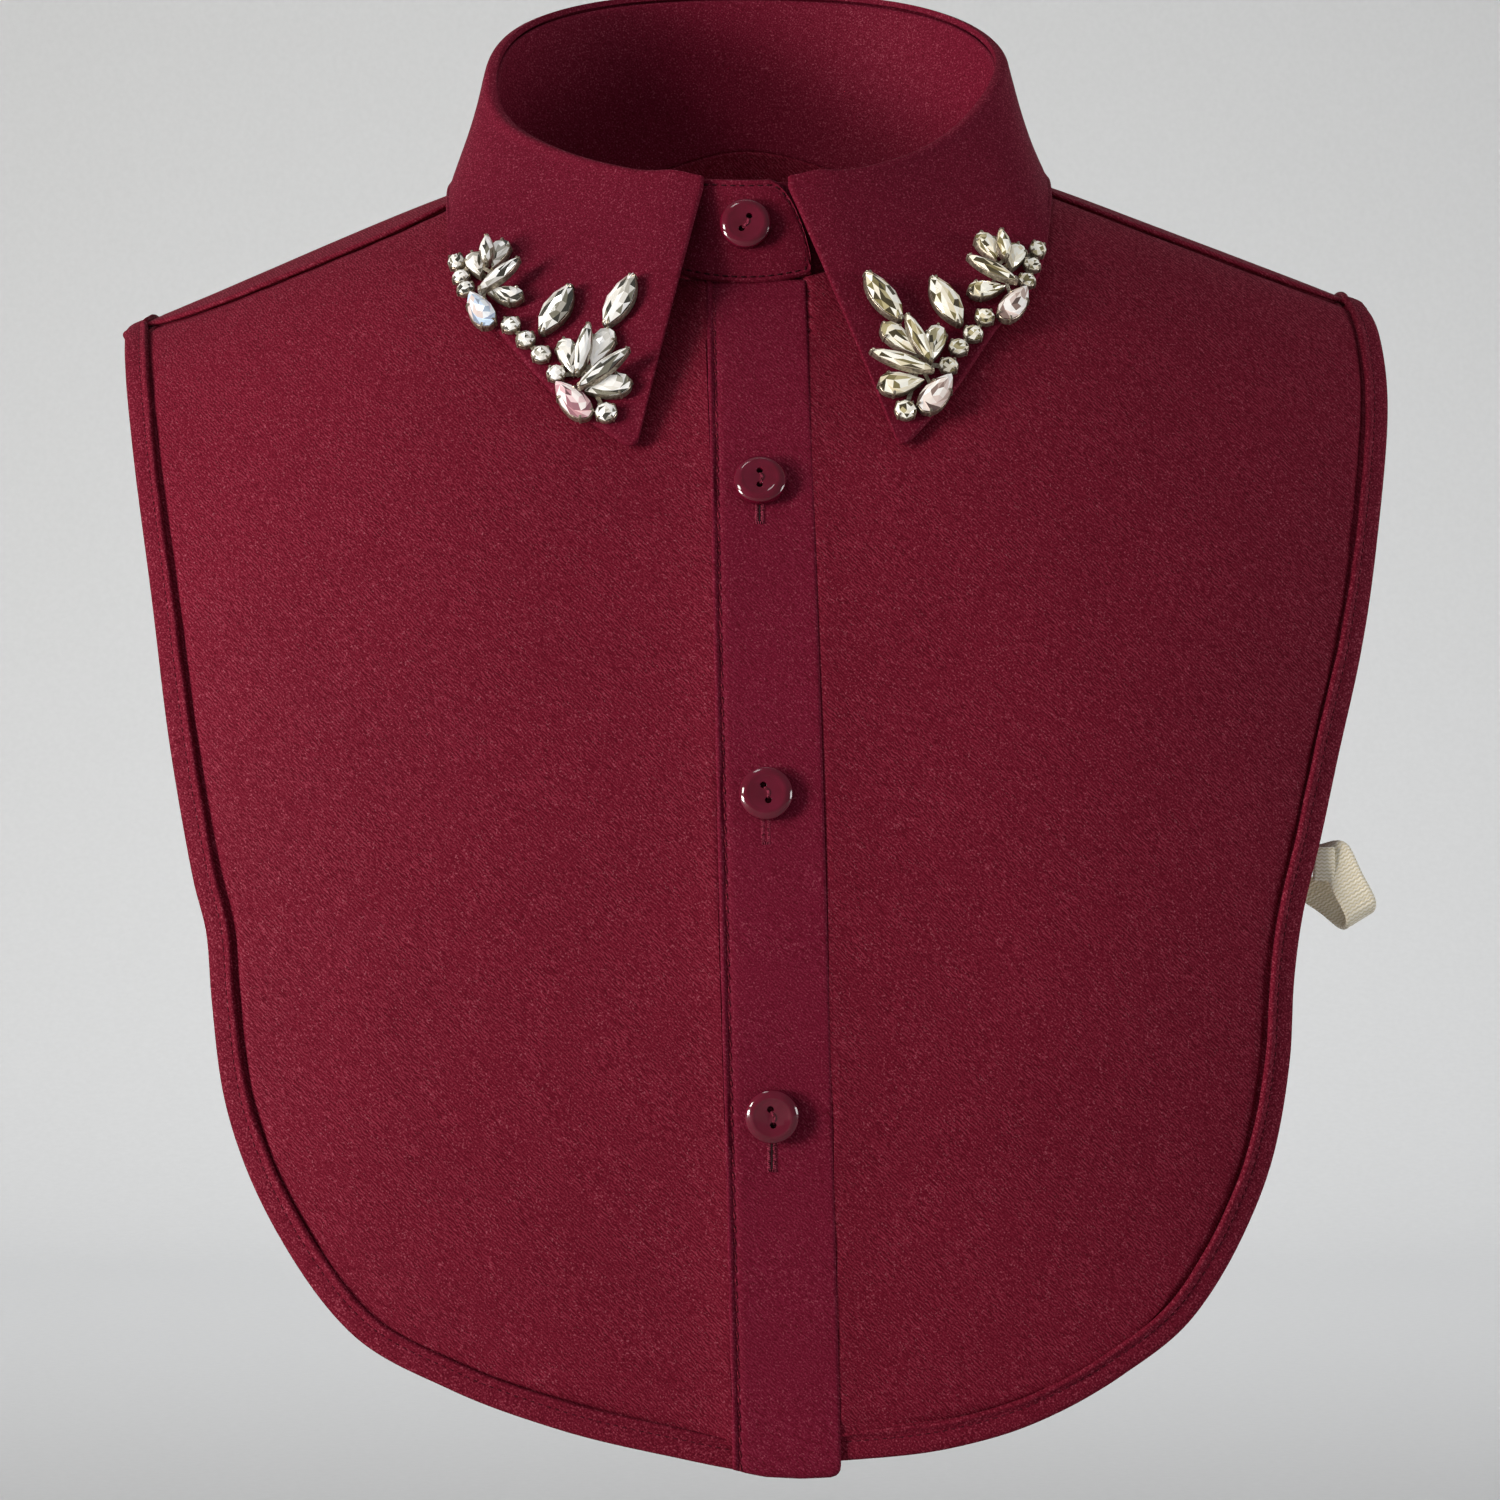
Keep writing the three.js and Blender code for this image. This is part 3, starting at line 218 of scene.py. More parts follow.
def halfEdge(whole, side):
    def place(share):
        return whole["place"](np.asarray(share) / 2 if side == whole["side"]
                              else 1 - np.asarray(share) / 2)

    return {**whole, "place": place, "corner": 2 * whole["corner"], "side": side,
            "inward": -side, "twoSeams": False}


# The place that lies a distance in from an outer edge, measured along the cloth
def insetPlace(edge, share, distance, step=0.002):
    share, distance = np.broadcast_arrays(np.asarray(share, float), np.asarray(distance, float))
    x, q = edge["place"](share)
    ahead = bodyPoint(*edge["place"](np.minimum(share + step, 1)))
    along = ahead - bodyPoint(*edge["place"](np.maximum(share - step, 0)))
    inward = unit(np.cross(along, bodyNormal(x, q))) * (edge["inward"] * distance)[..., None]
    alongX = (bodyPoint(x + step, q) - bodyPoint(x - step, q)) / (2 * step)
    alongQ = (bodyPoint(x, q + step) - bodyPoint(x, q - step)) / (2 * step)
    xx, xq, qq = ((a * b).sum(-1) for a, b in ((alongX, alongX), (alongX, alongQ), (alongQ, alongQ)))
    dx, dq = (alongX * inward).sum(-1), (alongQ * inward).sum(-1)
    scale = xx * qq - xq * xq
    fromSeam = np.minimum(share, 1 - share) * 2 if edge["twoSeams"] else share
    pull = np.maximum(1 - fromSeam / seam["squaring"], 0) ** 2
    return x + (dx * qq - dq * xq) / scale, mix(q + (dq * xx - dx * xq) / scale, edge["seamQ"], pull)


frontEdges = {
    side: edgeCurve(edgeSpots(edgeRows[side], sign, True), sign,
                    hemCorner[side] / (len(edgeRows[side]) - 1), sign)
    for side, sign in (("right", -1), ("left", 1))
}
backSpots = edgeSpots(edgeRows["back"], -1, False)
backSpots += edgeSpots(edgeRows["back"], 1, False)[::-1][1:]
backWhole = edgeCurve(backSpots, -1, hemCorner["back"] / (len(edgeRows["back"]) - 1) / 2, 1)
backWhole["twoSeams"] = True


# Making meshes

def linked(mesh, name):
    piece = bpy.data.objects.new(name, mesh)
    scene.collection.objects.link(piece)
    return piece


# A mesh from places in millimetres, smooth, with its sharp turns kept
def makePiece(name, places, faces, material, slot, smooth=True, turn=40):
    mesh = bpy.data.meshes.new(name)
    mesh.from_pydata((np.asarray(places) * mm).tolist(), [], [list(face) for face in faces])
    mesh.validate()
    mesh.materials.append(material)
    piece = linked(mesh, name)
    if smooth:
        mesh.shade_smooth()
        mesh.set_sharp_from_angle(angle=math.radians(turn))
    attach(piece, "root")
    return piece


def only(piece):
    bpy.ops.object.select_all(action="DESELECT")
    piece.select_set(True)
    bpy.context.view_layer.objects.active = piece


def applyAll(piece):
    only(piece)
    for modifier in list(piece.modifiers):
        bpy.ops.object.modifier_apply(modifier=modifier.name)


# The nearest way to a border over the cloth, for each place of a grid; sides is which borders count
def borderDistance(points, sides=("first", "last", "top", "foot"), innerRows=None):
    across = np.linalg.norm(np.diff(points, axis=1), axis=-1)
    down = np.linalg.norm(np.diff(points, axis=0), axis=-1)
    fromFirst = np.concatenate([np.zeros((len(points), 1)), across.cumsum(1)], axis=1)
    fromTop = np.concatenate([np.zeros((1, points.shape[1])), down.cumsum(0)])
    ways = {"first": fromFirst, "last": fromFirst[:, -1:] - fromFirst,
            "top": fromTop, "foot": fromTop[-1:] - fromTop}
    if innerRows is not None:  # below these rows the first border is joined to its other half
        ways["first"] = np.where(np.arange(len(points))[:, None] < innerRows, ways["first"], 99)
    return np.minimum.reduce([ways[side] for side in sides])


# Outer and inner height of a cloth's wall, rounded towards its borders
def roundedWall(distance, inner, outer, radius):
    share = np.clip(distance / radius, 0, 1)
    lift = np.maximum(np.sqrt(1 - (1 - share) ** 2), 0.2)
    middle, half = (outer + inner) / 2, (outer - inner) / 2
    return middle - half * lift, middle + half * lift


def gridFaces(rows, columns):
    first = (np.arange(rows - 1)[:, None] * columns + np.arange(columns - 1)).ravel()
    return np.stack([first, first + 1, first + 1 + columns, first + columns], axis=1)


# A grid of places with a wall from inner to outer along the normals; openRows leaves the rim of
# the first column open from that row on
def shell(points, normals, inner, outer, openRows=None):
    rows, columns = points.shape[:2]
    count = rows * columns
    places = np.concatenate([(points + normals * outer[..., None]).reshape(-1, 3),
                             (points + normals * inner[..., None]).reshape(-1, 3)])
    faces = gridFaces(rows, columns)
    a, b, _, d = faces[len(faces) // 2]
    facing = np.cross(places[b] - places[a], places[d] - places[a])
    if facing @ normals.reshape(-1, 3)[a] < 0:
        faces = faces[:, ::-1]
    index = np.arange(count).reshape(rows, columns)
    loops = [(index[0, :-1], index[0, 1:]), (index[-1, :-1], index[-1, 1:]),
             (index[:-1, 0][:openRows], index[1:, 0][:openRows]), (index[:-1, -1], index[1:, -1])]
    known = set(map(tuple, np.concatenate([faces[:, [0, 1]], faces[:, [1, 2]],
                                           faces[:, [2, 3]], faces[:, [3, 0]]]).tolist()))
    rim = []
    for starts, ends in loops:
        for s, e in zip(starts.tolist(), ends.tolist()):
            s, e = (s, e) if (s, e) in known else (e, s)
            rim.append((e, s, s + count, e + count))
    return places, faces.tolist() + (faces[:, ::-1] + count).tolist() + rim


def joined(parts):
    places, faces, start = [], [], 0
    for some, their in parts:
        places.append(some)
        faces += [tuple(i + start for i in face) for face in their]
        start += len(some)
    return np.concatenate(places), faces


# A closed ring of places swept along rows: rings[row, spot], with both ends closed
def sweep(rings):
    rows, count = rings.shape[:2]
    faces = []
    for first in range(0, (rows - 1) * count, count):
        for i in range(count):
            j, above = (i + 1) % count, first + count
            faces.append((first + i, first + j, above + j, above + i))
    faces.append(tuple(range(count))[::-1])
    faces.append(tuple((rows - 1) * count + i for i in range(count)))
    places = rings.reshape(-1, 3)
    flip = sum(np.dot(np.cross(places[f[1]] - places[f[0]], places[f[2]] - places[f[0]]),
                      places[f[0]] - rings[f[0] // count].mean(0)) for f in faces[:count])
    return places, faces if flip > 0 else [f[::-1] for f in faces]


# Shares from 0 to 1 in even steps, with close ones near both ends for a rounded rim
def steps(length, count, rim=(0.15, 0.4, 0.8, 1.4)):
    near = [r / length for r in rim]
    return np.array([0, *near, *np.linspace(near[-1], 1 - near[-1], count)[1:-1],
                     *[1 - n for n in near[::-1]], 1])


# Materials

def linear(code):
    channels = [int(code[i:i + 2], 16) / 255 for i in (1, 3, 5)]
    return (*[c / 12.92 if c <= 0.04045 else ((c + 0.055) / 1.055) ** 2.4 for c in channels], 1)


def fillSockets(tree, made, inputs):
    for key, value in inputs.items():
        if isinstance(value, bpy.types.NodeSocket):
            tree.links.new(value, made.inputs[key])
        else:
            made.inputs[key].default_value = value


def node(tree, kind, settings=None, inputs=None):
    made = tree.nodes.new(kind)
    for key, value in (settings or {}).items():
        setattr(made, key, value)
    fillSockets(tree, made, inputs or {})
    return made


def newMaterial(name):
    material = bpy.data.materials.new(name)
    material.use_nodes = True
    tree = material.node_tree
    return material, tree, tree.nodes["Principled BSDF"]


def ramp(tree, factor, stops):
    made = node(tree, "ShaderNodeValToRGB", inputs={"Fac": factor})
    elements = made.color_ramp.elements
    while len(elements) < len(stops):
        elements.new(0.5)
    for element, (at, code) in zip(elements, stops):
        element.position = at
        element.color = linear(code)
    return made.outputs["Color"]


# Polyester crepe, hard twisted yarn in a fine twill: slanting lines 0.64 mm apart that break up every few
# millimetres. Their colour follows the bump: the yarn's own tone, with painted shade in the hollows and
# painted highlight on the ridges. Lighter pink flecks are painted glints where a yarn end would catch the
# light
def crepe(name, dark, base, light, lines=1.0, glintStrength=1.0, spacing=0.64, depth=0.1):
    material, tree, shader = newMaterial(name)
    spot = node(tree, "ShaderNodeTexCoord").outputs["Object"]
    slanted = node(tree, "ShaderNodeMapping", {"vector_type": "TEXTURE"}, {
        "Vector": spot, "Rotation": (0, math.radians(44), 0), "Scale": (mm, mm, mm)})
    stretched = node(tree, "ShaderNodeMapping", {"vector_type": "TEXTURE"}, {
        "Vector": spot, "Rotation": (0, math.radians(47), 0),
        "Scale": (1.3 * mm, 1.2 * mm, 0.34 * mm)})
    twill = node(tree, "ShaderNodeTexWave", {"bands_direction": "Z", "wave_profile": "SIN"}, {
        "Vector": slanted.outputs["Vector"], "Scale": 0.314 / spacing, "Distortion": 6,
        "Detail": 2, "Detail Scale": 2})
    yarn = node(tree, "ShaderNodeTexNoise", inputs={
        "Vector": stretched.outputs["Vector"], "Scale": 1, "Detail": 1})
    flattened = node(tree, "ShaderNodeMapping", {"vector_type": "TEXTURE"}, {
        "Vector": spot, "Scale": (0.4 * mm, 1.2 * mm, 0.4 * mm)})
    fleck = node(tree, "ShaderNodeTexNoise", inputs={
        "Vector": flattened.outputs["Vector"], "Scale": 1, "Detail": 1})
    patch = node(tree, "ShaderNodeTexNoise", inputs={
        "Vector": spot, "Scale": 1 / (7 * mm), "Detail": 2})
    cloud = node(tree, "ShaderNodeTexNoise", inputs={
        "Vector": spot, "Scale": 1 / (34 * mm), "Detail": 3})
    strength = node(tree, "ShaderNodeMapRange", inputs={
        "Value": patch.outputs["Fac"], "From Min": 0.3, "From Max": 0.6,
        "To Min": 0.45 * lines, "To Max": lines})
    woven = node(tree, "ShaderNodeMix", {"data_type": "FLOAT"}, {
        "Factor": 0.72, "A": twill.outputs["Fac"], "B": yarn.outputs["Fac"]})
    weave = node(tree, "ShaderNodeMix", {"data_type": "FLOAT"}, {
        "Factor": strength.outputs["Result"], "A": fleck.outputs["Fac"], "B": woven.outputs["Result"]})
    # painted shade and highlight: the weave's hollows are darker and its ridges lighter, over the yarn's
    # own tone
    yarnToneAndShading = ramp(tree, weave.outputs["Result"], [(0.28, dark), (0.5, base), (0.76, light)])
    # painted glints: pale pink flecks where a yarn end would catch the light
    glint = node(tree, "ShaderNodeMapRange", inputs={
        "Value": fleck.outputs["Fac"], "From Min": 0.62, "From Max": 0.76, "To Min": 0,
        "To Max": 0.5 * glintStrength})
    withPaintedGlints = node(tree, "ShaderNodeMix", {"data_type": "RGBA"}, {
        "Factor": glint.outputs["Result"], "A": yarnToneAndShading, "B": linear("#b5606f")})
    shade = node(tree, "ShaderNodeMapRange", inputs={
        "Value": cloud.outputs["Fac"], "From Min": 0.3, "From Max": 0.7, "To Min": 0.96, "To Max": 1.03})
    colour = node(tree, "ShaderNodeVectorMath", {"operation": "SCALE"}, {
        0: withPaintedGlints.outputs["Result"], "Scale": shade.outputs["Result"]})
    gloss = node(tree, "ShaderNodeMapRange", inputs={
        "Value": weave.outputs["Result"], "From Min": 0.4, "From Max": 0.7, "To Min": 0.85, "To Max": 0.6})
    bump = node(tree, "ShaderNodeBump", inputs={
        "Height": weave.outputs["Result"], "Strength": 0.6, "Distance": depth * mm})
    fillSockets(tree, shader, {
        "Base Color": colour.outputs["Vector"], "Roughness": gloss.outputs["Result"],
        "Normal": bump.outputs["Normal"], "Specular IOR Level": 0.09})
    return material


frontCrepe = crepe("polyester crepe, front", "#540819", "#6b0f25", "#8c2b3f")
bindingCrepe = crepe("polyester crepe, turned edge", "#4c0615", "#690f25", "#8f3043", 0.4, 0.8)
placketCrepe = crepe("polyester crepe, placket", "#540a1a", "#6a0f29", "#81253d", 0.7, 0.7)
collarCrepe = crepe("interfaced polyester crepe, collar", "#530a1a", "#660e26", "#7b2138", 0.3, 0.7)


# Spun polyester sewing thread: soft, in a tone near the cloth's; the collar stand's thread is near-black
# instead, painted shade of its sunk stitches and needle holes
def threadMaterial(name, code):
    material, tree, shader = newMaterial(name)
    spot = node(tree, "ShaderNodeTexCoord").outputs["Object"]
    twist = node(tree, "ShaderNodeTexNoise", inputs={"Vector": spot, "Scale": 1 / (0.5 * mm)})
    colour = ramp(tree, twist.outputs["Fac"], [(0.35, "#430914"), (0.6, code)])
    fillSockets(tree, shader, {"Base Color": colour, "Roughness": 0.7, "Specular IOR Level": 0.12})
    return material


sewingThread = threadMaterial("spun polyester thread", "#5c1326")
bandThread = threadMaterial("spun polyester thread, placket", "#8a2439")
# painted shade: a near-black thread for the stand's sunk stitches and needle holes
standThreadInPaintedShade = threadMaterial("spun polyester thread, collar stand, painted shade", "#2e0712")
buttonThread = threadMaterial("spun polyester thread, buttons", "#a03c54")


# Cast polyester button blank, dyed through and tumble polished: a hard gloss over deep colour
def buttonResin():
    material, tree, shader = newMaterial("dyed cast polyester")
    spot = node(tree, "ShaderNodeTexCoord").outputs["Object"]
    swirl = node(tree, "ShaderNodeTexNoise", inputs={
        "Vector": spot, "Scale": 1 / (4 * mm), "Detail": 2})
    colour = ramp(tree, swirl.outputs["Fac"], [(0.3, "#5e0a21"), (0.7, "#670f29")])
    haze = node(tree, "ShaderNodeMapRange", inputs={
        "Value": swirl.outputs["Fac"], "To Min": 0.06, "To Max": 0.14})
    fillSockets(tree, shader, {
        "Base Color": colour, "Roughness": haze.outputs["Result"], "IOR": 1.56})
    return material


resin = buttonResin()


# Foil-backed cut glass under a clear hard polish: each facet takes its own painted tone, a painted
# reflection of another part of the room, and glows faintly in that tone
def cutGlass():
    material, tree, shader = newMaterial("foiled cut glass, painted reflections and glow")
    tone = node(tree, "ShaderNodeAttribute", {"attribute_name": "facet"}).outputs["Color"]
    fillSockets(tree, shader, {
        # painted reflections in the base colour and a painted glow in the emission, both from the facet
        # tone
        "Base Color": tone, "Emission Color": tone, "Emission Strength": 0.26, "Metallic": 0.1,
        "Roughness": 0.12, "Coat Weight": 1, "Coat Roughness": 0.03, "Coat IOR": 1.6})
    return material


glass = cutGlass()


# Rhodium-plated brass cups, stamped and tumbled: bright, with faint scuffs
def platedMetal():
    material, tree, shader = newMaterial("rhodium-plated brass")
    spot = node(tree, "ShaderNodeTexCoord").outputs["Object"]
    scuff = node(tree, "ShaderNodeTexNoise", inputs={
        "Vector": spot, "Scale": 1 / (0.6 * mm), "Detail": 2})
    colour = ramp(tree, scuff.outputs["Fac"], [(0.3, "#786e60"), (0.7, "#c2b7a4")])
    rough = node(tree, "ShaderNodeMapRange", inputs={
        "Value": scuff.outputs["Fac"], "To Min": 0.22, "To Max": 0.42})
    fillSockets(tree, shader, {
        "Base Color": colour, "Roughness": rough.outputs["Result"], "Metallic": 0.75})
    return material


silver = platedMetal()


# Knitted elastic, a cream tape of close rows in a low zigzag, with painted shade in the dips between the
# rows, in its own UV map in metres: U runs along the tape, V across it
def knittedElastic():
    material, tree, shader = newMaterial("knitted elastic")
    uv = node(tree, "ShaderNodeSeparateXYZ", inputs={
        0: node(tree, "ShaderNodeUVMap", {"uv_map": "cloth"}).outputs["UV"]})
    zigzag = node(tree, "ShaderNodeMath", {"operation": "PINGPONG"}, {0: uv.outputs["Y"], 1: 0.6 * mm})
    slanted = node(tree, "ShaderNodeMath", {"operation": "MULTIPLY_ADD"}, {
        0: zigzag.outputs[0], 1: 0.55, 2: uv.outputs["X"]})
    phase = node(tree, "ShaderNodeMath", {"operation": "MULTIPLY"}, {
        0: slanted.outputs[0], 1: 2 * math.pi / (0.8 * mm)})
    rows = node(tree, "ShaderNodeMath", {"operation": "SINE"}, {0: phase.outputs[0]})
    level = node(tree, "ShaderNodeMapRange", inputs={"Value": rows.outputs[0], "From Min": -1})
    # painted shade: the colour darkens where the bump dips between the rows
    colour = ramp(tree, level.outputs["Result"], [(0, "#d3c7a5"), (0.35, "#ece2ca"), (1, "#f8f1e3")])
    bump = node(tree, "ShaderNodeBump", inputs={
        "Height": level.outputs["Result"], "Strength": 0.5, "Distance": 0.15 * mm})
    fillSockets(tree, shader, {
        "Base Color": colour, "Normal": bump.outputs["Normal"], "Roughness": 0.75,
        "Sheen Weight": 0.1})
    return material


elastic = knittedElastic()


# The crepe inside a buttonhole's slit, where hardly any light reaches: a flat near-black colour, painted
# shade
def crepeInPaintedShade():
    material, tree, shader = newMaterial("crepe in the slit, painted shade")
    fillSockets(tree, shader, {"Base Color": linear("#22050d"), "Roughness": 0.9})
    return material


paintedSlitShade = crepeInPaintedShade()
print("materials made")


# Bib panels

panel = {"under": 5.2, "groove": 6.8, "inner": 0.2, "outer": 1.5, "round": 1.0, "across": 110,
         "frontDown": 290, "backDown": 200,  # under: how far in from the edge the cloth ends
         "onNeck": {"front": 0.375, "back": 0.5}}  # onNeck: share of the inner side at the neck
placket = {"topZ": -23.2, "footZ": -288.5, "length": 263, "rightX": (-9.2, -2.8),
           "leftX": (14, 20.9), "face": 3.5, "back": 1.6}  # face and back: heights over the body
joinX = [x + 3.5 for x in placket["rightX"]]  # where the fronts meet under the placket, top and foot
# the fronts climb towards the placket: where that starts, over what way it fades and how high
climb = {"right": (-1.2, 9, 1.9), "left": (-1.5, 14, 1.75)}


def placketX(z, key):
    share = (placket["topZ"] - z) / (placket["topZ"] - placket["footZ"])
    return mix(*placket[key], share)


def neckSpot(angle):
    turn = np.radians(angle)
    x = neckLoop["halfWidth"] * np.sin(turn)
    return x, qAtDepth(x, neckLoop["centreY"] - neckLoop["halfDepth"] * np.cos(turn))


def neckAngleAt(q):
    angles = np.linspace(45, 135, 2000)
    return float(np.interp(-q, -neckSpot(angles)[1], angles))


# Slow waves of a hanging cloth
def hang(points):
    x, z = points[..., 0], points[..., 2]
    wave = np.sin(x / 19 + z / 47 + 0.4) * np.sin(z / 33 - x / 61) + 0.6 * np.sin(x / 11 - z / 27 + 1.9)
    return 0.16 * wave


def panelWall(points, distance):
    wave = hang(points) * np.clip(distance / 20, 0, 1)
    return *roundedWall(distance, panel["inner"], panel["outer"], panel["round"]), wave


# A four-sided patch between inner edge, outer edge, shoulder seam and hem
def panelGrid(edge, innerTop, footX, neckShare, u, v, footQ=None, tuck=0.0):
    inset = panel["under"]
    u, v = np.meshgrid(u, v)
    hemX, hemQ = insetPlace(edge, mix(1, edge["corner"], u), inset)
    startX, startQ = insetPlace(edge, 1, inset)
    foot = (footX, startQ if footQ is None else footQ)
    hem = (hemX + (foot[0] - startX) * (1 - u), hemQ + (foot[1] - startQ) * (1 - u))
    outer = insetPlace(edge, v * edge["corner"], inset)
    seamAngle = edge["side"] * neckAngleAt(edge["seamQ"])
    onNeck = neckSpot(mix(seamAngle, innerTop, np.minimum(v / neckShare, 1)))
    below = np.clip((v - neckShare) / (1 - neckShare), 0, 1)
    neckEnd = neckSpot(innerTop)
    grids = []
    for part in (0, 1):
        inner = np.where(v < neckShare, onNeck[part], mix(neckEnd[part], foot[part], below))
        top = mix(inner[0, 0], outer[part][0, 0], u)
        if part == 1:  # between its ends the shoulder seam bows to the front
            top = top + seam["bow"][edge["side"]] * (1 - u ** 8) * (1 - (1 - u) ** 8)
            top = top - tuck * (1 - u ** 40) * (1 - (1 - u) ** 40)
        low = mix(foot[part], hem[part][0, -1], u)
        ruled = mix(inner, outer[part], u) + mix(top, hem[part], v)
        grids.append(ruled - mix(mix(inner[0, 0], outer[part][0, 0], u), low, v))
    points = bodyPoint(*grids)
    return points, bodyNormal(*grids)


def frontPanel(side, innerTop, footX):
    u, v = steps(panel["across"], 84), steps(panel["frontDown"], 190)
    points, normals = panelGrid(frontEdges[side], innerTop, footX, panel["onNeck"]["front"], u, v,
                                tuck=seam["tuck"])
    distance = borderDistance(points)
    inner, outer, wave = panelWall(points, distance)
    start, reach, high = climb[side]
    away = frontEdges[side]["side"] * (points[..., 0] - placketX(points[..., 2], f"{side}X"))
    wave = wave + high * smoothStep(away, start, -0.45) * np.exp(-np.maximum(away, 0) / reach)
    pucker = 0.10 * np.sin(points[..., 2] / 1.9 + points[..., 0] / 2.3) * np.exp(-distance / 4)
    fromGroove = borderDistance(points, ("last", "foot")) - (panel["groove"] - panel["under"])
    wave = wave - 0.9 * np.exp(-(fromGroove / 0.6) ** 2)
    sunk = seam["sunk"] * (smoothStep(borderDistance(points, ("top",)), seam["flat"], seam["rise"]) - 1)
    wall = shell(points, normals, inner + wave + sunk, outer + wave + sunk + pucker)
    piece = makePiece(f"front_{side}", *wall, frontCrepe, "crepe")
    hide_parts(f"front_panel_{side}")
    return piece


angleAtX = math.degrees(math.asin(joinX[0] / neckLoop["halfWidth"]))
fronts = {
    "right": frontPanel("right", angleAtX - 0.28, joinX[1] - 0.3),
    "left": frontPanel("left", angleAtX, joinX[1]),
}


def backPanel():
    onNeck = panel["onNeck"]["back"]
    u = steps(panel["across"], 56)
    v = np.unique(np.concatenate([steps(panel["backDown"], 130), [onNeck]]))
    footQ = float(insetPlace(backWhole, 0.5, panel["under"])[1])
    halves = []
    for side in (-1, 1):
        points, normals = panelGrid(halfEdge(backWhole, side), side * 180, 0, onNeck, u, v, footQ)
        neckRows = int((v <= onNeck).sum())
        inner, outer, wave = panelWall(points, borderDistance(points, innerRows=neckRows))
        wave = wave + 0.45 * np.exp(-(borderDistance(points, ("top",)) / 4) ** 2)
        halves.append(shell(points, normals, inner + wave, outer + wave, openRows=neckRows - 1))
    piece = makePiece("back", *joined(halves), frontCrepe, "crepe")
    only(piece)
    bpy.ops.object.mode_set(mode="EDIT")
    bpy.ops.mesh.select_all(action="SELECT")
    bpy.ops.mesh.remove_doubles(threshold=0.02 * mm)
    bpy.ops.object.mode_set(mode="OBJECT")
    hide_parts("back_panel")
    return piece


back = backPanel()
print("panels made")


# Turned and stitched outer edges. The profile goes round the strip: distance in from the edge and
# height over the body

bindingProfile = [
    (0.0, 1.0), (0.05, 1.5), (0.3, 1.95), (0.8, 2.25), (1.6, 2.36), (2.8, 2.36), (3.6, 2.3),
    (4.1, 2.2), (4.5, 2.2), (5.0, 2.36), (5.35, 2.68), (5.8, 2.8), (6.2, 2.6), (6.42, 2.1),
    (6.4, 1.5), (6.2, 1.2), (5.2, 1.1), (5.1, 0.25), (5.6, -0.05), (5.0, -0.3), (3.5, -0.38),
    (1.8, -0.38), (0.8, -0.3), (0.3, 0.0), (0.05, 0.45),
]


def shareWhereX(edge, x):
    shares = np.linspace(edge["corner"], 1, 4000)
    return float(np.interp(-edge["side"] * x, -edge["side"] * edge["place"](shares)[0], shares))


def edgeFrame(edge, shares, distance, height):
    x, q = insetPlace(edge, shares, distance)
    normals = bodyNormal(x, q)
    return bodyPoint(x, q) + normals * np.asarray(height)[..., None], normals


def evenShares(edge, start, end, count):
    shares = np.linspace(start, end, 3000)
    ways = waysAlong(bodyPoint(*edge["place"](shares)))
    return np.interp(np.linspace(0, ways[-1], count), ways, shares), ways[-1]


def binding(name, cadNode, edge, start, end, count):
    shares, length = evenShares(edge, start, end, count)
    profile = np.array(bindingProfile)
    uneven = 0.16 * np.sin(np.linspace(0, length / 3.1, count))
    uneven = uneven * np.sin(np.linspace(1, length / 11, count))
    isRidge = (profile[:, 0] > 4.6) & (profile[:, 1] > 1)
    heights = profile[None, :, 1] + isRidge * uneven[:, None]
    wander = 0.22 * np.sin(np.linspace(0, length / 17, count))[:, None] * isRidge
    rings, _ = edgeFrame(edge, shares[:, None], profile[None, :, 0] + wander, heights)
    piece = makePiece(name, *sweep(rings), bindingCrepe, "crepe_binding", turn=60)
    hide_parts(cadNode)
    return piece, length


bindings, bindingLengths = {}, {}
ends = {"right": -2.8 + 0.7, "left": 20.9 - 0.9}
for side, edge in frontEdges.items():
    bindings[side], bindingLengths[side] = binding(
        f"front_edge_{side}", f"binding_{side}", edge, 0, shareWhereX(edge, ends[side]), 520)
bindings["back"], bindingLengths["back"] = binding(
    "back_edge", "binding_back", backWhole, 0, 1, 560)


# Rows of stitches: one small lozenge of thread, repeated along a path
stitchShape = np.array([
    (-1, 0, 0), (-0.6, -0.8, 0.1), (-0.6, 0, 0.85), (-0.6, 0.8, 0.1),
    (0.6, -0.8, 0.1), (0.6, 0, 0.85), (0.6, 0.8, 0.1), (1, 0, 0), (0, 0, -0.4),
])
stitchFaces = [(0, 2, 1), (0, 3, 2), (1, 2, 5, 4), (2, 3, 6, 5), (7, 4, 5), (7, 5, 6),
               (0, 1, 8), (3, 0, 8), (1, 4, 8), (6, 3, 8), (4, 7, 8), (7, 6, 8)]


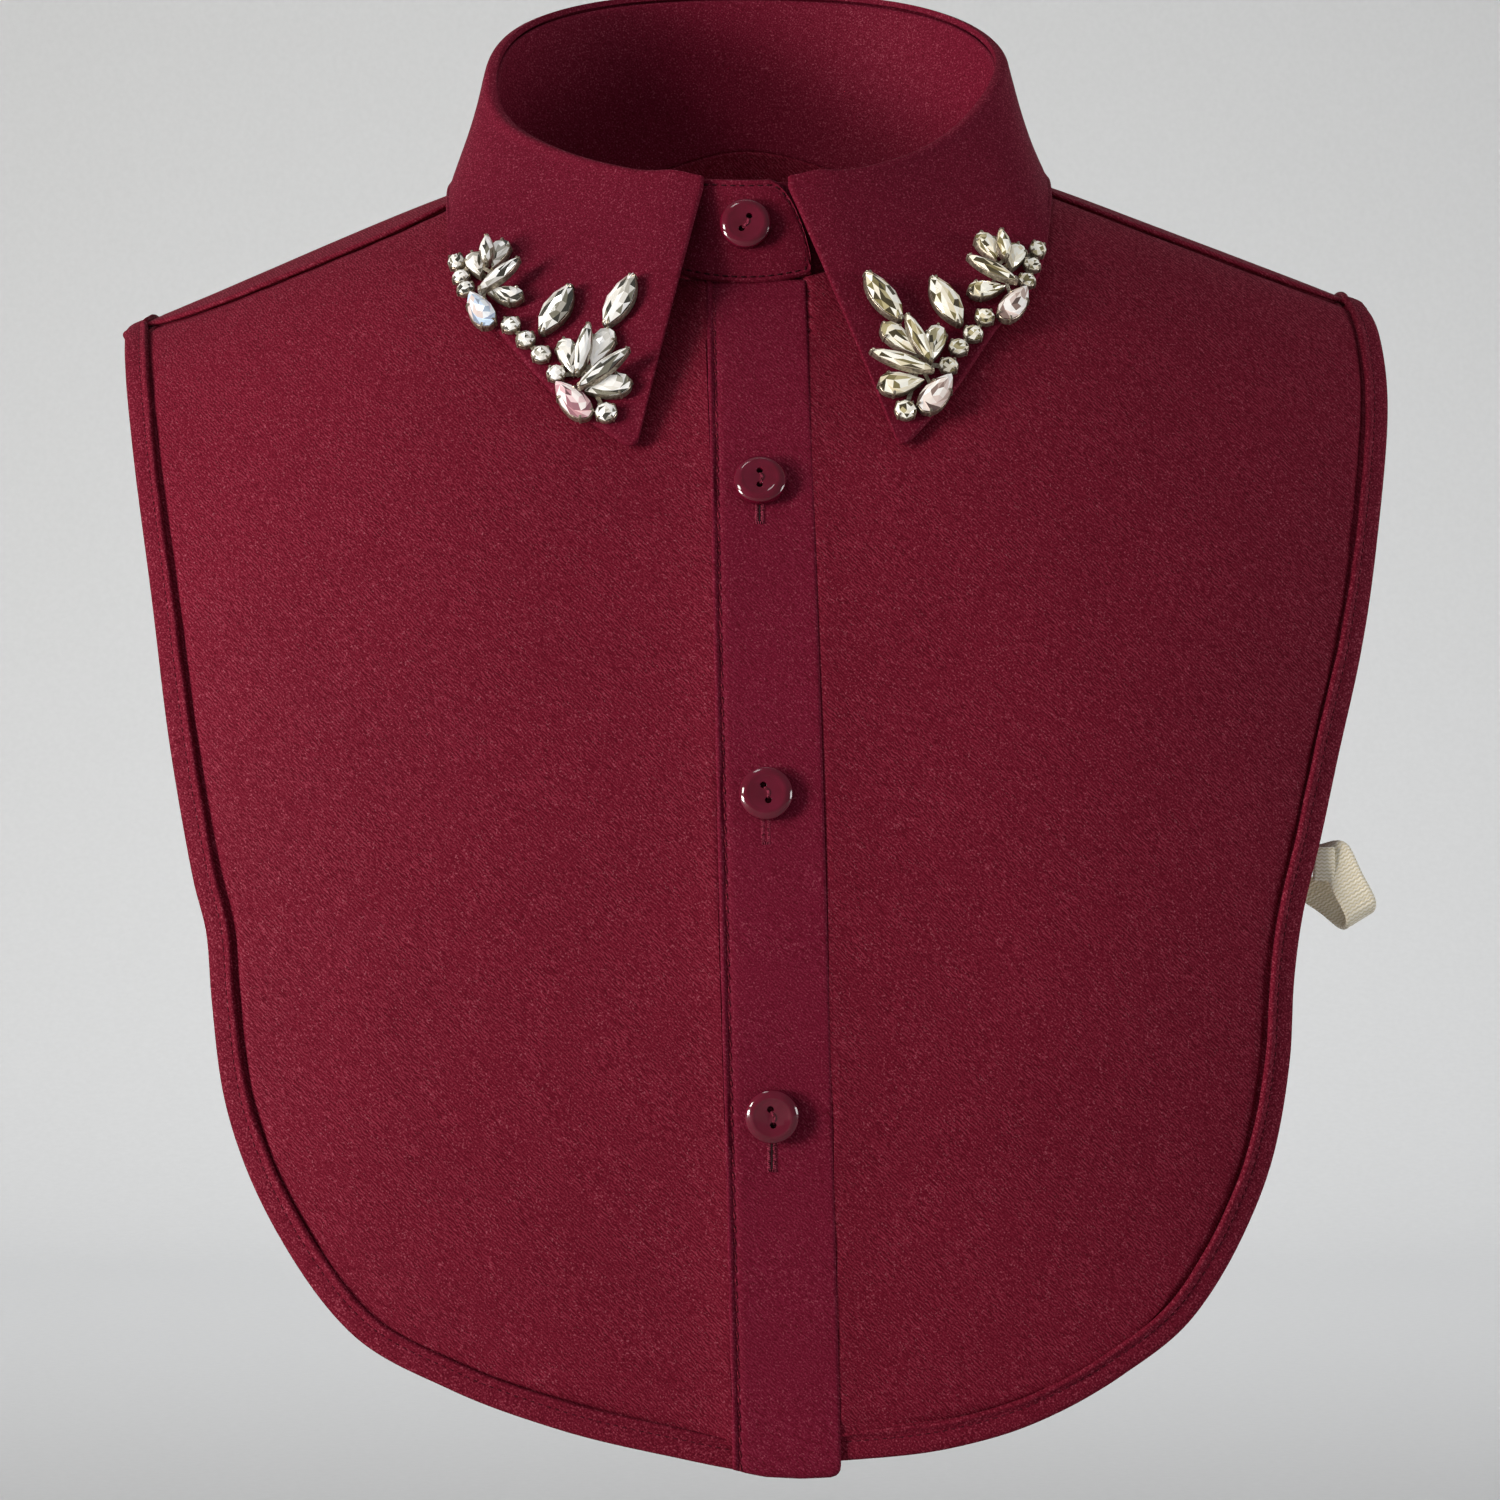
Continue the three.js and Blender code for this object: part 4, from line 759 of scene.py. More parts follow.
def stitchRow(points, normals, pitch=1.9, length=1.25, width=0.34, height=0.14, lean=0.0):
    ways = waysAlong(points)
    count = max(int(ways[-1] / pitch), 1)
    at = (np.arange(count) + 0.5) * ways[-1] / count

    def spotsAt(places, rows):
        return np.stack([np.interp(places, ways, rows[:, i]) for i in range(3)], axis=1)

    reach, up = spotsAt(at, points), unit(spotsAt(at, normals))
    along = unit(spotsAt(at + 0.2, points) - spotsAt(at - 0.2, points))
    across = np.cross(up, along)
    along, across = (along * math.cos(lean) + across * math.sin(lean),
                     across * math.cos(lean) - along * math.sin(lean))
    shape = stitchShape * (length / 2, width / 2, height)
    places = (reach[:, None] + shape[None, :, 0, None] * along[:, None]
              + shape[None, :, 1, None] * across[:, None] + shape[None, :, 2, None] * up[:, None])
    return places.reshape(-1, 3), [tuple(i + 9 * k for i in face)
                                   for k in range(count) for face in stitchFaces]


def stitches(name, rows, material=sewingThread, slot="crepe"):
    return makePiece(name, *joined(rows), material, slot, turn=180)


for name, edge, start, end in (
        ("right", frontEdges["right"], 0.004, shareWhereX(frontEdges["right"], -4)),
        ("left", frontEdges["left"], 0.004, shareWhereX(frontEdges["left"], 22)),
        ("back", backWhole, 0.003, 0.997)):
    shares, _ = evenShares(edge, start, end, 900)
    stitches(f"edge_stitches_{name}", [stitchRow(*edgeFrame(edge, shares, 4.3, 2.2))])
print("edges made")


# Placket: a folded band with a rolled, stitched right edge

placketProfile = [  # distance from its right edge, then height over the body
    (0.0, 2.9), (0.05, 3.25), (0.25, 3.48), (0.55, 3.6), (0.9, 3.56), (1.15, 3.34), (1.35, 3.16),
    (1.6, 3.08), (1.9, 3.08), (2.15, 3.16), (2.45, 3.32), (2.8, 3.44), (3.6, 3.5),
]
placketFoot = [(0, -286.7), (3, -287.5), (7, -288.3), (15, -288.7), (24, -288.3)]  # its lower edge
placketCorner = 2.4


def placketSpot(z, fromRight, height):
    x = placketX(z, "rightX") + fromRight
    x, z = np.broadcast_arrays(x, z)
    q = qAtHeight(x, z)
    normals = bodyNormal(x, q)
    return bodyPoint(x, q) + normals * np.asarray(height)[..., None], normals


def footHeight(across, width):
    height = np.interp(across, *zip(*placketFoot))
    fromCorner = np.clip(placketCorner - (width - across), 0, placketCorner)
    return height + placketCorner - np.sqrt(placketCorner ** 2 - fromCorner ** 2)


def makePlacket():
    share = steps(placket["length"], 240)[:, None]
    z = placket["topZ"] + (placket["footZ"] - placket["topZ"]) * share
    width = placketX(z, "leftX") - placketX(z, "rightX")
    top = np.array(placketProfile)
    flat = [(d, placket["face"]) for d in np.linspace(4.6, 21.4, 13)]
    face = np.array([*top, *flat])
    # round the left edge, then back along the hidden side
    rim = [(-1.1, 3.49), (-0.6, 3.46), (-0.2, 3.34), (0.0, 3.05), (0.0, 2.2), (-0.3, 1.8), (-0.8, 1.65)]
    under = [(d, placket["back"]) for d in np.linspace(21, 2, 9)] + [(0.8, 1.65), (0.3, 1.85)]
    across = np.concatenate([face[:, 0][None, :] + 0 * z, width + np.array([r[0] for r in rim]),
                             np.array([d for d, _ in under])[None, :] + 0 * z], axis=1)
    height = np.array([*face[:, 1], *[r[1] for r in rim], *[h for _, h in under]])[None, :] + 0 * z
    isFace = height > 2.6
    low = np.clip(share * 8 - 7, 0, 1)  # only the foot follows the shape of the lower edge
    z = z + (footHeight(across, width[-1, 0]) - placket["footZ"]) * low
    reach = placket["topZ"] - z
    wave = 0.12 * np.sin(reach / 21 + across / 9) * np.clip((across - 2.5) / 4, 0, 1)
    roll = 0.14 * np.sin(reach / 2.4) * np.sin(reach / 8.5 + 1) * (across < 1.3)
    end = np.minimum(share, 1 - share) * placket["length"]
    flatten = 1 - 0.5 * (1 - np.clip(end / 1.2, 0, 1)) ** 2
    thick = (height - placket["back"] + wave + roll) * flatten
    height = np.where(isFace, placket["back"] + thick, height)
    rings, _ = placketSpot(z, across, height)
    piece = makePiece("placket_band", *sweep(rings), placketCrepe, "crepe_placket", turn=60)
    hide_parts("placket")
    return piece


placketBand = makePlacket()
runZ = np.linspace(placket["topZ"] - 1, placket["footZ"] + 1, 900)
stitches("placket_stitches", [stitchRow(*placketSpot(runZ, 1.75, 3.04), pitch=2.9, length=2.1,
                                      width=0.6, height=0.36, lean=0.2)], bandThread)
print("placket made")


# Collar stand

fold = {"halfWidth": 59.8, "halfDepth": 57.5, "centreY": 3, "sideZ": 35, "rise": 0.62, "ease": 0.0024,
        "tilt": 3.2, "tiltY": -14, "tiltSpread": 22, "dip": 2.2, "dipFrom": 6, "dipTo": 24}
stand = {"wall": 1.8, "footGap": 0.8, "backGap": -0.5, "endLength": 8.5, "endRound": 1.7,
         "endLeast": 0.12, "clothWall": 1.6,
         "over": 13.4, "under": 12}  # how far its ends go past the middle of the front, in degrees
overlapLift = {"height": 2.1, "full": 16, "none": 48}


def fromFront(angle):
    return np.abs((angle + 180) % 360 - 180)


def frontLift(angle):
    gone = smoothStep(np.abs(angle), overlapLift["full"], overlapLift["none"])
    return overlapLift["height"] * (1 - gone)


def standLine(angle):
    turned = np.radians(angle)
    x, q = neckSpot(angle)
    foot = bodyPoint(x, q)
    y = fold["centreY"] - fold["halfDepth"] * np.cos(turned)
    z = fold["sideZ"] + fold["rise"] * y - fold["ease"] * np.maximum(y, 0) ** 2
    z = z + fold["tilt"] * np.sin(turned) * np.exp(-((y - fold["tiltY"]) / fold["tiltSpread"]) ** 2)
    z = z - fold["dip"] * smoothStep(fromFront(angle), fold["dipFrom"], fold["dipTo"])
    top = stack(fold["halfWidth"] * np.sin(turned), y, z)
    up = unit(top - foot)
    out = unit(np.cross(stack(np.cos(turned), np.sin(turned), 0 * turned), up))
    lean = np.maximum((bodyNormal(x, q) * up).sum(-1), 0)
    gap = mix(stand["footGap"], stand["backGap"], smoothStep(fromFront(angle), 35, 70))
    foot = foot + up * (gap + stand["clothWall"] * lean)[..., None]
    return foot, top, up, out


standTurn = 360 + stand["over"] + stand["under"]
standPerDegree = math.pi * (fold["halfWidth"] + fold["halfDepth"]) / 360


def standEndHeight(fromEnd):
    left = np.maximum(1 - fromEnd / stand["endLength"], 0)
    rounded = (1 - left ** stand["endRound"]) ** (1 / stand["endRound"])
    return np.maximum(rounded, stand["endLeast"])


def makeStand():
    u = steps(standTurn * standPerDegree, 330, rim=(0.15, 0.4, 0.8, 1.3, 2, 3, 4.2, 5.6, 7, 8.5))
    v = steps(24, 24, rim=(0.2, 0.5, 0.9, 1.3, 1.7))
    angle = stand["over"] - standTurn * u
    foot, top, _, out = standLine(angle)
    fromEnd = np.minimum(u, 1 - u) * standTurn * standPerDegree
    lift = np.where(u < 0.5, frontLift(angle), 0)
    high = top - foot
    points = foot + high * (v[:, None] * standEndHeight(fromEnd))[..., None] + out * lift[:, None]
    normals = np.broadcast_to(out, points.shape)
    distance = borderDistance(points)
    inner, outer = roundedWall(distance, 0.1, stand["wall"], 0.9)
    groove = 0.28 * np.exp(-((distance - 1.45) / 0.38) ** 2) * (np.abs(angle) < 40)
    puff = 0.18 * np.exp(-((distance - 0.75) / 0.35) ** 2) * (np.abs(angle) < 40)
    wall = shell(points, normals, inner, outer - groove + puff)
    piece = makePiece("stand", *wall, collarCrepe, "crepe_collar", turn=50)
    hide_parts("collar_stand")
    return piece


standBand = makeStand()


# Along the foot, round the end and back along the top of the stand's upper end
def standStitches(inset=1.45):
    ways = np.linspace(60, inset, 240)
    angles = stand["over"] - ways / standPerDegree
    foot, top, up, out = standLine(angles)
    tall = np.linalg.norm(top - foot, axis=-1) * standEndHeight(ways)
    raised = out * (frontLift(angles) + stand["wall"] - 0.22)[:, None]
    low = foot + up * inset + raised
    high = foot + up * (tall - inset * 1.15)[:, None] + raised
    isOut = tall > 2.6 * inset
    points = np.concatenate([low[isOut], high[isOut][::-1]])
    normals = np.concatenate([out[isOut], out[isOut][::-1]])
    return stitchRow(points, normals, pitch=2.1, length=1.5, width=0.55, height=0.34)


stitches("stand_stitches", [standStitches()], standThreadInPaintedShade)
print("stand made")


# Collar leaf, folded over the stand, with its two points

leaf = {"wall": 1.6, "length": 410, "frontEdge": 62, "tipRound": 3.2, "frontAngle": 8.6,
        "clearance": 2.75, "bend": 0.16, "over": (0.9, 1.4), "crest": (2.8, 0.9), "fall": (3.4, -1.6),
        "belly": -0.8, "flare": 2.4, "flareReach": 11, "backY": 65.5}
leafEnd = {"over": (2.95, -0.6), "crest": (3.15, -1.6), "fall": (3.5, -3.2),
           "up": (7, 16), "out": (14, 24)}  # between which angles the fold gains its full form
leafEdge = {
    "right": [(-24.5, None, -63.3), (-42, None, -50.4), (-56, None, -35), (-66, None, -24),
              (-69.5, None, -9), (-69.8, 4, None), (-65, 32, None), (-40, 54.5, None)],
    "left": [(34.5, None, -63.1), (47, None, -48.8), (57, None, -34), (66.5, None, -22.5),
             (70.5, None, -8.5), (71.2, 4, None), (65.5, 32, None), (40, 54.5, None)],
}


def overBody(x, y, z):
    if z is None:
        q = qAtDepth(x, y)
        return bodyPoint(x, q) + bodyNormal(x, q) * leaf["clearance"]
    return raisedOnBody(x, z, leaf["clearance"])[0]


leafEdgeLine = evenCurve(
    [overBody(*row) for row in leafEdge["right"]] + [overBody(0.0, leaf["backY"], None)]
    + [overBody(*row) for row in leafEdge["left"]][::-1])


def leafLines(u):
    angle = mix(-leaf["frontAngle"], leaf["frontAngle"] - 360, u)
    _, top, up, out = standLine(angle)
    away = fromFront(angle)
    lift = frontLift(away)
    upShare, outShare = smoothStep(away, *leafEnd["up"]), smoothStep(away, *leafEnd["out"])

    def place(key):
        outwards = mix(leafEnd[key][0], leaf[key][0], outShare) + lift
        upwards = mix(leafEnd[key][1], leaf[key][1], upShare)
        return top + out * outwards[..., None] + up * upwards[..., None]

    return place("over"), place("crest"), place("fall"), out


# The leaf's surface below its fold, with the lower end of each front edge rounded
def leafMiddle(u, v):
    _, _, fall, out = leafLines(u)
    fromEnd = np.minimum(u, 1 - u) * leaf["length"]
    fromTip = np.clip(leaf["tipRound"] - fromEnd, 0, leaf["tipRound"])
    cutBack = (leaf["tipRound"] - np.sqrt(leaf["tipRound"] ** 2 - fromTip ** 2)) / leaf["frontEdge"]
    share = ((v - leaf["bend"]) / (1 - leaf["bend"]) * (1 - cutBack))[..., None]
    flare = leaf["flare"] * np.exp(-(fromEnd / leaf["flareReach"]) ** 2)[..., None]
    away = leaf["belly"] * np.sin(np.pi * share) + flare * np.sin(0.86 * np.pi * share)
    points = mix(fall, leafEdgeLine(u), share) + out * away
    return liftOffBody(points, leaf["clearance"])


def leafNormal(u, v, step=0.012):
    alongU = leafMiddle(np.minimum(u + step, 1), v) - leafMiddle(np.maximum(u - step, 0), v)
    alongV = leafMiddle(u, np.minimum(v + step, 1)) - leafMiddle(u, v - step)
    return unit(np.cross(alongU, alongV))


def gridNormals(points):
    return unit(np.cross(np.gradient(points, axis=1), np.gradient(points, axis=0)))


def makeLeaf():
    u = steps(leaf["length"], 300)
    over, crest, fall, _ = leafLines(u)
    levels = leaf["bend"] + (1 - leaf["bend"]) * np.linspace(0, 1, 15)[1:]
    lower = [leafMiddle(u, np.full_like(u, level)) for level in levels]
    column = smoothCurve([over, crest, fall, *lower])
    stops = np.concatenate([np.linspace(0, 2 / 16, 14)[:-1], np.linspace(2 / 16, 1, 60)[:-3],
                            [1 - 0.022, 1 - 0.013, 1 - 0.006, 1 - 0.002, 1]])
    points = column(stops)
    normals = gridNormals(points)
    if (normals[40, 150] * leafNormal(u[150:151], np.array([0.6]))[0]).sum() < 0:
        normals = -normals
    distance = borderDistance(points, ("first", "last", "foot"))
    fromTop = borderDistance(points, ("top",))
    inner, outer = roundedWall(np.minimum(distance, fromTop + 0.4), -0.72, 0.78, 0.75)
    edgePuff = 0.10 * np.exp(-((distance - 1.2) / 0.7) ** 2)
    wave = 0.25 * np.sin(u * 31)[None, :] * np.clip(stops * 2 - 0.6, 0, 1)[:, None]
    wave = wave * np.clip(distance / 12, 0, 1)
    wall = shell(points, normals, inner + wave, outer + wave + edgePuff)
    piece = makePiece("leaf", *wall, collarCrepe, "crepe_collar", turn=50)
    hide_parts("collar_leaf")
    return piece


leafPiece = makeLeaf()
print("leaf made")


# Buttons: turned blanks with a raised rim, a shallow dish and two holes, and a thread through them

button = {"radius": 5.85, "height": 2.4, "edgeRound": 0.12, "dish": 0.18, "hole": 0.74, "pitch": 3.5,
          "steps": ((0.1, 0.16), (0.45, 0.33), (0.5, 0.27), (0.4, 0.14), (0.3, 0), (0.35, -0.1),
                    (0.3, -0.08))}  # steps: each one's way inwards and upwards over the rim
buttonSpots = [("button_1", -0.1, -8.3, -30), ("button_2", 3.1, -68.7, 0),
               ("button_3", 4.4, -138.7, 18), ("button_4", 5.7, -209.3, 10)]


def pickFaces(mesh, test):
    for face in mesh.polygons:
        face.select = bool(test(face))
    for vertex in mesh.vertices:
        vertex.select = False
    for edge in mesh.edges:
        edge.select = False


def makeButton():
    radius, height = button["radius"] * mm, button["height"] * mm
    bpy.ops.object.select_all(action="DESELECT")
    shoulder = (button["height"] - sum(max(upwards, 0) for _, upwards in button["steps"])) * mm
    bpy.ops.mesh.primitive_cylinder_add(vertices=72, radius=radius, depth=shoulder,
                                        location=(0, 0, shoulder / 2), end_fill_type="NGON")
    blank = bpy.context.object
    bpy.ops.object.transform_apply(location=True)
    pickFaces(blank.data, lambda face: face.normal.z > 0.9)
    bpy.ops.object.mode_set(mode="EDIT")
    bpy.ops.mesh.select_mode(type="FACE")
    for inwards, upwards in button["steps"]:
        bpy.ops.mesh.inset(thickness=inwards * mm)
        bpy.ops.transform.translate(value=(0, 0, upwards * mm))
    bpy.ops.object.mode_set(mode="OBJECT")
    bevel = blank.modifiers.new("worn edges", "BEVEL")
    bevel.width = button["edgeRound"] * mm
    bevel.segments = 3
    bevel.angle_limit = math.radians(25)
    cutters = []
    for side in (-1, 1):
        bpy.ops.object.select_all(action="DESELECT")
        bpy.ops.mesh.primitive_cylinder_add(vertices=28, radius=button["hole"] * mm, depth=4 * height,
                                            location=(0, side * button["pitch"] / 2 * mm, height / 2))
        cutter = bpy.context.object
        cutters.append(cutter)
        cut = blank.modifiers.new("hole", "BOOLEAN")
        cut.operation = "DIFFERENCE"
        cut.object = cutter
    soften = blank.modifiers.new("soft holes", "BEVEL")
    soften.width = 0.16 * mm
    soften.segments = 2
    soften.angle_limit = math.radians(55)
    applyAll(blank)
    for cutter in cutters:
        bpy.data.objects.remove(cutter)
    return blank


def uprightFrame(point, normal):
    across = unit(np.cross((0.0, 0.0, 1.0), normal))
    return across, np.cross(normal, across), normal, point


def buttonFrame(x, z):
    foot, _, _, _ = standLine(np.array(0.0))
    if z < foot[2]:
        face, normal = raisedOnBody(x, z, 4.3 + button["height"])
        return uprightFrame(face - normal * button["height"], normal)
    foot, top, _, out = standLine(np.array(math.degrees(math.asin(x / neckLoop["halfWidth"]))))
    lift = overlapLift["height"] + stand["wall"] + 0.3
    share = (z - out[2] * (lift + button["height"]) - foot[2]) / (top[2] - foot[2])
    return uprightFrame(mix(foot, top, share) + out * lift, out)


def matrixOf(across, upward, normal, point):
    rows = np.eye(4)
    rows[:3, :3] = np.stack([across, upward, normal], axis=1)
    rows[:3, 3] = point * mm
    return Matrix(rows.tolist())


# The thread that holds a button: strands from hole to hole and the wrap under it
def strandPath(offset, pitch, height):
    reach = np.linspace(-1, 1, 17)
    y = reach * (pitch / 2 - 0.45)
    z = height - button["dish"] + 0.16 - 1.0 * np.abs(reach) ** 6
    return np.stack([offset + 0.5 - 0.45 * np.abs(reach), y, z], axis=1)


def tube(path, radius, count=8):
    along = unit(np.gradient(path, axis=0))
    side = unit(np.cross(along, (0.31, 0.2, 0.93)))
    up = np.cross(side, along)
    turns = np.arange(count) * 2 * math.pi / count
    rings = (path[:, None] + radius * (np.cos(turns)[None, :, None] * side[:, None]
                                       + np.sin(turns)[None, :, None] * up[:, None]))
    return sweep(rings)


blank = makeButton()
for name, x, z, lean in buttonSpots:
    across, upward, normal, point = buttonFrame(x, z)
    turned = matrixOf(across, upward, normal, point) @ Matrix.Rotation(math.radians(lean), 4, "Z")
    mesh = blank.data.copy()
    mesh.transform(turned)
    mesh.materials.clear()
    mesh.materials.append(resin)
    mesh.shade_smooth()
    mesh.set_sharp_from_angle(angle=math.radians(50))
    piece = linked(mesh, name.replace("_", "_blank_"))
    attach(piece, "root")
    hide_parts(name)
    strands = [tube(strandPath(offset, button["pitch"], button["height"]), 0.15)
               for offset in (-0.05, 0.2)]
    strands += [tube(np.array([(0, s * 1.6, -0.55), (0.05, s * 1.58, 0.1), (0, s * 1.55, 0.5)]), 0.4)
                for s in (-1, 1)]
    places, faces = joined(strands)
    local = np.array(turned)
    places = places @ local[:3, :3].T + local[:3, 3] / mm
    makePiece(name.replace("_", "_thread_"), places, faces, buttonThread, "crepe_placket", turn=180)
bpy.data.objects.remove(blank)
print("buttons made")


# Buttonholes: a slit with a whipped edge on both sides, most of it behind the button

buttonhole = {"below": 5.8, "length": 13.6, "gap": 0.3, "bite": 0.95, "pitch": 0.42, "face": 3.52}


def makeButtonhole(name, x, z):
    endZ = z - button["radius"] - buttonhole["below"]
    runZ = np.linspace(endZ + buttonhole["length"], endZ, 60)
    pitch, bite, face = buttonhole["pitch"], buttonhole["bite"], buttonhole["face"]
    rows = []
    for side in (-1, 1):
        fromRight = x + side * (buttonhole["gap"] / 2 + bite / 2) - placketX(runZ, "rightX")
        rows.append(stitchRow(*placketSpot(runZ, fromRight, face), pitch=pitch, length=bite,
                              width=0.46, height=0.3, lean=math.pi / 2 - 0.45 * side))
    barX = np.linspace(-0.95, 0.95, 12) + x
    rows.append(stitchRow(*placketSpot(endZ, barX - placketX(endZ, "rightX"), face), pitch=pitch,
                          length=0.8, width=0.4, height=0.38, lean=math.pi / 2))
    stitches(f"buttonhole_{name[-1]}", rows, buttonThread, "crepe_placket")
    # the slit: a thin strip of painted shade down the middle of the buttonhole
    corners = ((-0.14, 3.55), (0.14, 3.55), (0.14, 3.4), (-0.14, 3.4))
    slit = [placketSpot(runZ, x + fromMiddle - placketX(runZ, "rightX"), height)[0]
            for fromMiddle, height in corners]
    makePiece(f"buttonhole_slit_{name[-1]}", *sweep(np.stack(slit, axis=1)), paintedSlitShade,
              "crepe_placket")


for name, x, z, _ in buttonSpots[1:]:
    makeButtonhole(name, x, z)
print("buttonholes made")


# Crystals. Each place is seen from the front, and turn is the way in which the stone points

cut = {"foot": 0.6, "waist": 0.985, "crown": 0.72, "crownAt": 0.86, "table": 0.4}  # ring sizes
crystal = {"foot": 1.4, "height": 1.9, "tierStep": 3.1, "girdle": 0.45, "cupFoot": 0.5}
roundStone = {"foot": 1.1, "height": 1.75, "cupFoot": 0.5, "cupRim": 1.8, "cupMargin": 0.03}
stones = [  # name, shape, length, width, tier, then x, z and turn on the right and on the left
    ("upper_petal_1", "pear", 7.4, 4.6, 0, (-62.4, -16.8, 109), (62.2, -14.9, 76)),
    ("upper_petal_2", "navette", 8, 3, 1, (-59.7, -13.4, 92), (59.2, -12.2, 97)),
    ("upper_petal_3", "pear", 7.6, 4.8, 0, (-57, -14.3, 73), (55.6, -12.7, 116)),
    ("upper_petal_4", "navette", 11, 3, 1, (-55.6, -19.8, 41), (55.4, -18.6, 152)),
    ("upper_petal_5", "pear", 7.4, 4.8, 0, (-54.4, -25.2, -12), (54.4, -24, 188)),
    ("upper_drop", "drop", 12.6, 6.0, 0, (-61.2, -29.2, -60), (61.4, -27.2, -126)),
    ("lower_petal_1", "pear", 8.6, 4.6, 0, (-40.3, -39.6, 105), (43, -36.4, 80)),
    ("lower_petal_2", "navette", 12, 3.2, 1, (-36.5, -37.6, 79), (38.6, -35.4, 115)),
    ("lower_petal_3", "pear", 9.2, 5.2, 0, (-32.6, -37.6, 68), (34.4, -35.9, 137)),
    ("lower_petal_4", "navette", 12.6, 3.2, 1, (-31, -42.6, 38), (34, -41.4, 163)),
    ("lower_petal_5", "pear", 8.8, 5.8, 0, (-30.2, -47.4, 12), (34.2, -46.9, 187)),
    ("lower_drop", "drop", 12.4, 6.4, 0, (-39, -50.6, -48), (43, -49, -128)),
    ("navette_1", "navette", 15, 6.4, 0, (-43.2, -28.9, 60), (45.7, -26.9, 118)),
    ("navette_2", "navette", 15, 6.2, 0, (-28.8, -27.1, 63), (31.4, -26.2, 124)),
]
studs = [  # group, length, width, then x, z and turn on the right and on the left
    ("upper", 5, 3.8, (-67, -16.4, 100), (67.6, -13.4, 80)),
    ("upper", 4, 4, (-65.6, -20.3, 0), (66, -17.4, 0)),
    ("upper", 4, 4, (-64.4, -23.3, 0), (64.6, -21.4, 0)),
    ("chain", 4.4, 4.4, (-53.5, -32.4, 0), (54.4, -30.6, 0)),
    ("chain", 4.4, 4.4, (-50, -36, 0), (51.6, -34.7, 0)),
    ("chain", 4.4, 4.4, (-46.3, -39.6, 0), (48.2, -38, 0)),
    ("lower", 4.2, 4.2, (-42.8, -44.2, 0), (45.8, -42.4, 0)),
    ("lower", 4.8, 4.8, (-31.4, -53.5, 0), (35.9, -53, 0)),
]
hubs = {"upper": {"right": (-59.3, -21.6, 0), "left": (58.7, -19.4, 0)},
        "lower": {"right": (-36.2, -45, 0), "left": (39, -42.6, 0)}}
# painted reflections: each set runs bright to dark, in the stone's own tint
reflectionTones = {  # facet tones of the glass, bright to dark
    "cool": ["#fffdfa", "#faf6f0", "#e6e2da", "#b5b0a5", "#7e7a6a", "#3f3c33"],
    "warm": ["#fffcf0", "#f9f1dc", "#e4d9bb", "#b8ac82", "#7e734a", "#453c24"],
    "blue": ["#f6faff", "#cfe0f6", "#e0dae8", "#b0c0d4", "#8e9aac", "#e0cfca"],
    "pink": ["#fff4f2", "#f2d4d6", "#e6bcc1", "#cf9ba3", "#a06e78", "#6e484f"],
    "blush": ["#fffaf6", "#f3e6de", "#e2cec6", "#bda59b", "#8f776e", "#5e4c46"],
}
taper = {"navette": (0.7, 1), "pear": (1.1, 1.2), "drop": (0.6, 1.12)}


def outline(shape, angles):
    if shape == "round":
        return np.cos(angles), np.sin(angles)
    power, full = taper[shape]
    hasTwoPoints = shape == "navette"
    near = np.abs(np.sin(angles if hasTwoPoints else angles / 2)) ** power
    return (1 if hasTwoPoints else -1) * np.cos(angles), np.sin(angles) * near * full


def ringAt(stone, angles, scale, height, growth=0.0):
    _, shape, length, width = stone[:4]
    x, y = outline(shape, angles)
    ring = np.stack([x * (length / 2 + growth) * scale, y * (width / 2 + growth) * scale,
                     np.full(len(angles), float(height))], axis=1)
    return ring[::-1] if shape in ("pear", "drop") else ring


# The place on the leaf that shows at x and z from the front, found on ever finer grids
def leafSpot(x, z):
    u0, v0, half = (0.175 if x < 0 else 0.825), 0.58, np.array([0.175, 0.42])
    for _ in range(5):
        us = np.clip(np.linspace(u0 - half[0], u0 + half[0], 25), 0, 1)
        vs = np.clip(np.linspace(v0 - half[1], v0 + half[1], 25), leaf["bend"], 1)
        u, v = (grid.ravel() for grid in np.meshgrid(us, vs))
        points = leafMiddle(u, v)
        best = np.hypot(points[:, 0] - x, points[:, 2] - z).argmin()
        u0, v0, half = u[best], v[best], half / 8
    return np.array([u0]), np.array([v0])


# The frame of a stone that shows at x and z, at a height over the leaf
def stoneFrame(x, z, turn, height):
    spotX, spotZ = x, z
    for _ in range(3):
        u, v = leafSpot(spotX, spotZ)
        normal = leafNormal(u, v)[0]
        point = leafMiddle(u, v)[0] + normal * leaf["wall"] / 2
        seen = point + normal * height
        spotX, spotZ = spotX + x - seen[0], spotZ + z - seen[2]
    turned = math.radians(turn)
    along = np.array([math.cos(turned), 0, math.sin(turned)])
    along[1] = -(normal[0] * along[0] + normal[2] * along[2]) / normal[1]
    along = unit(along)
    return along, np.cross(normal, along), normal, point


def placed(places, axes):
    along, across, normal, point = axes
    return places[:, :1] * along + places[:, 1:2] * across + places[:, 2:] * normal + point


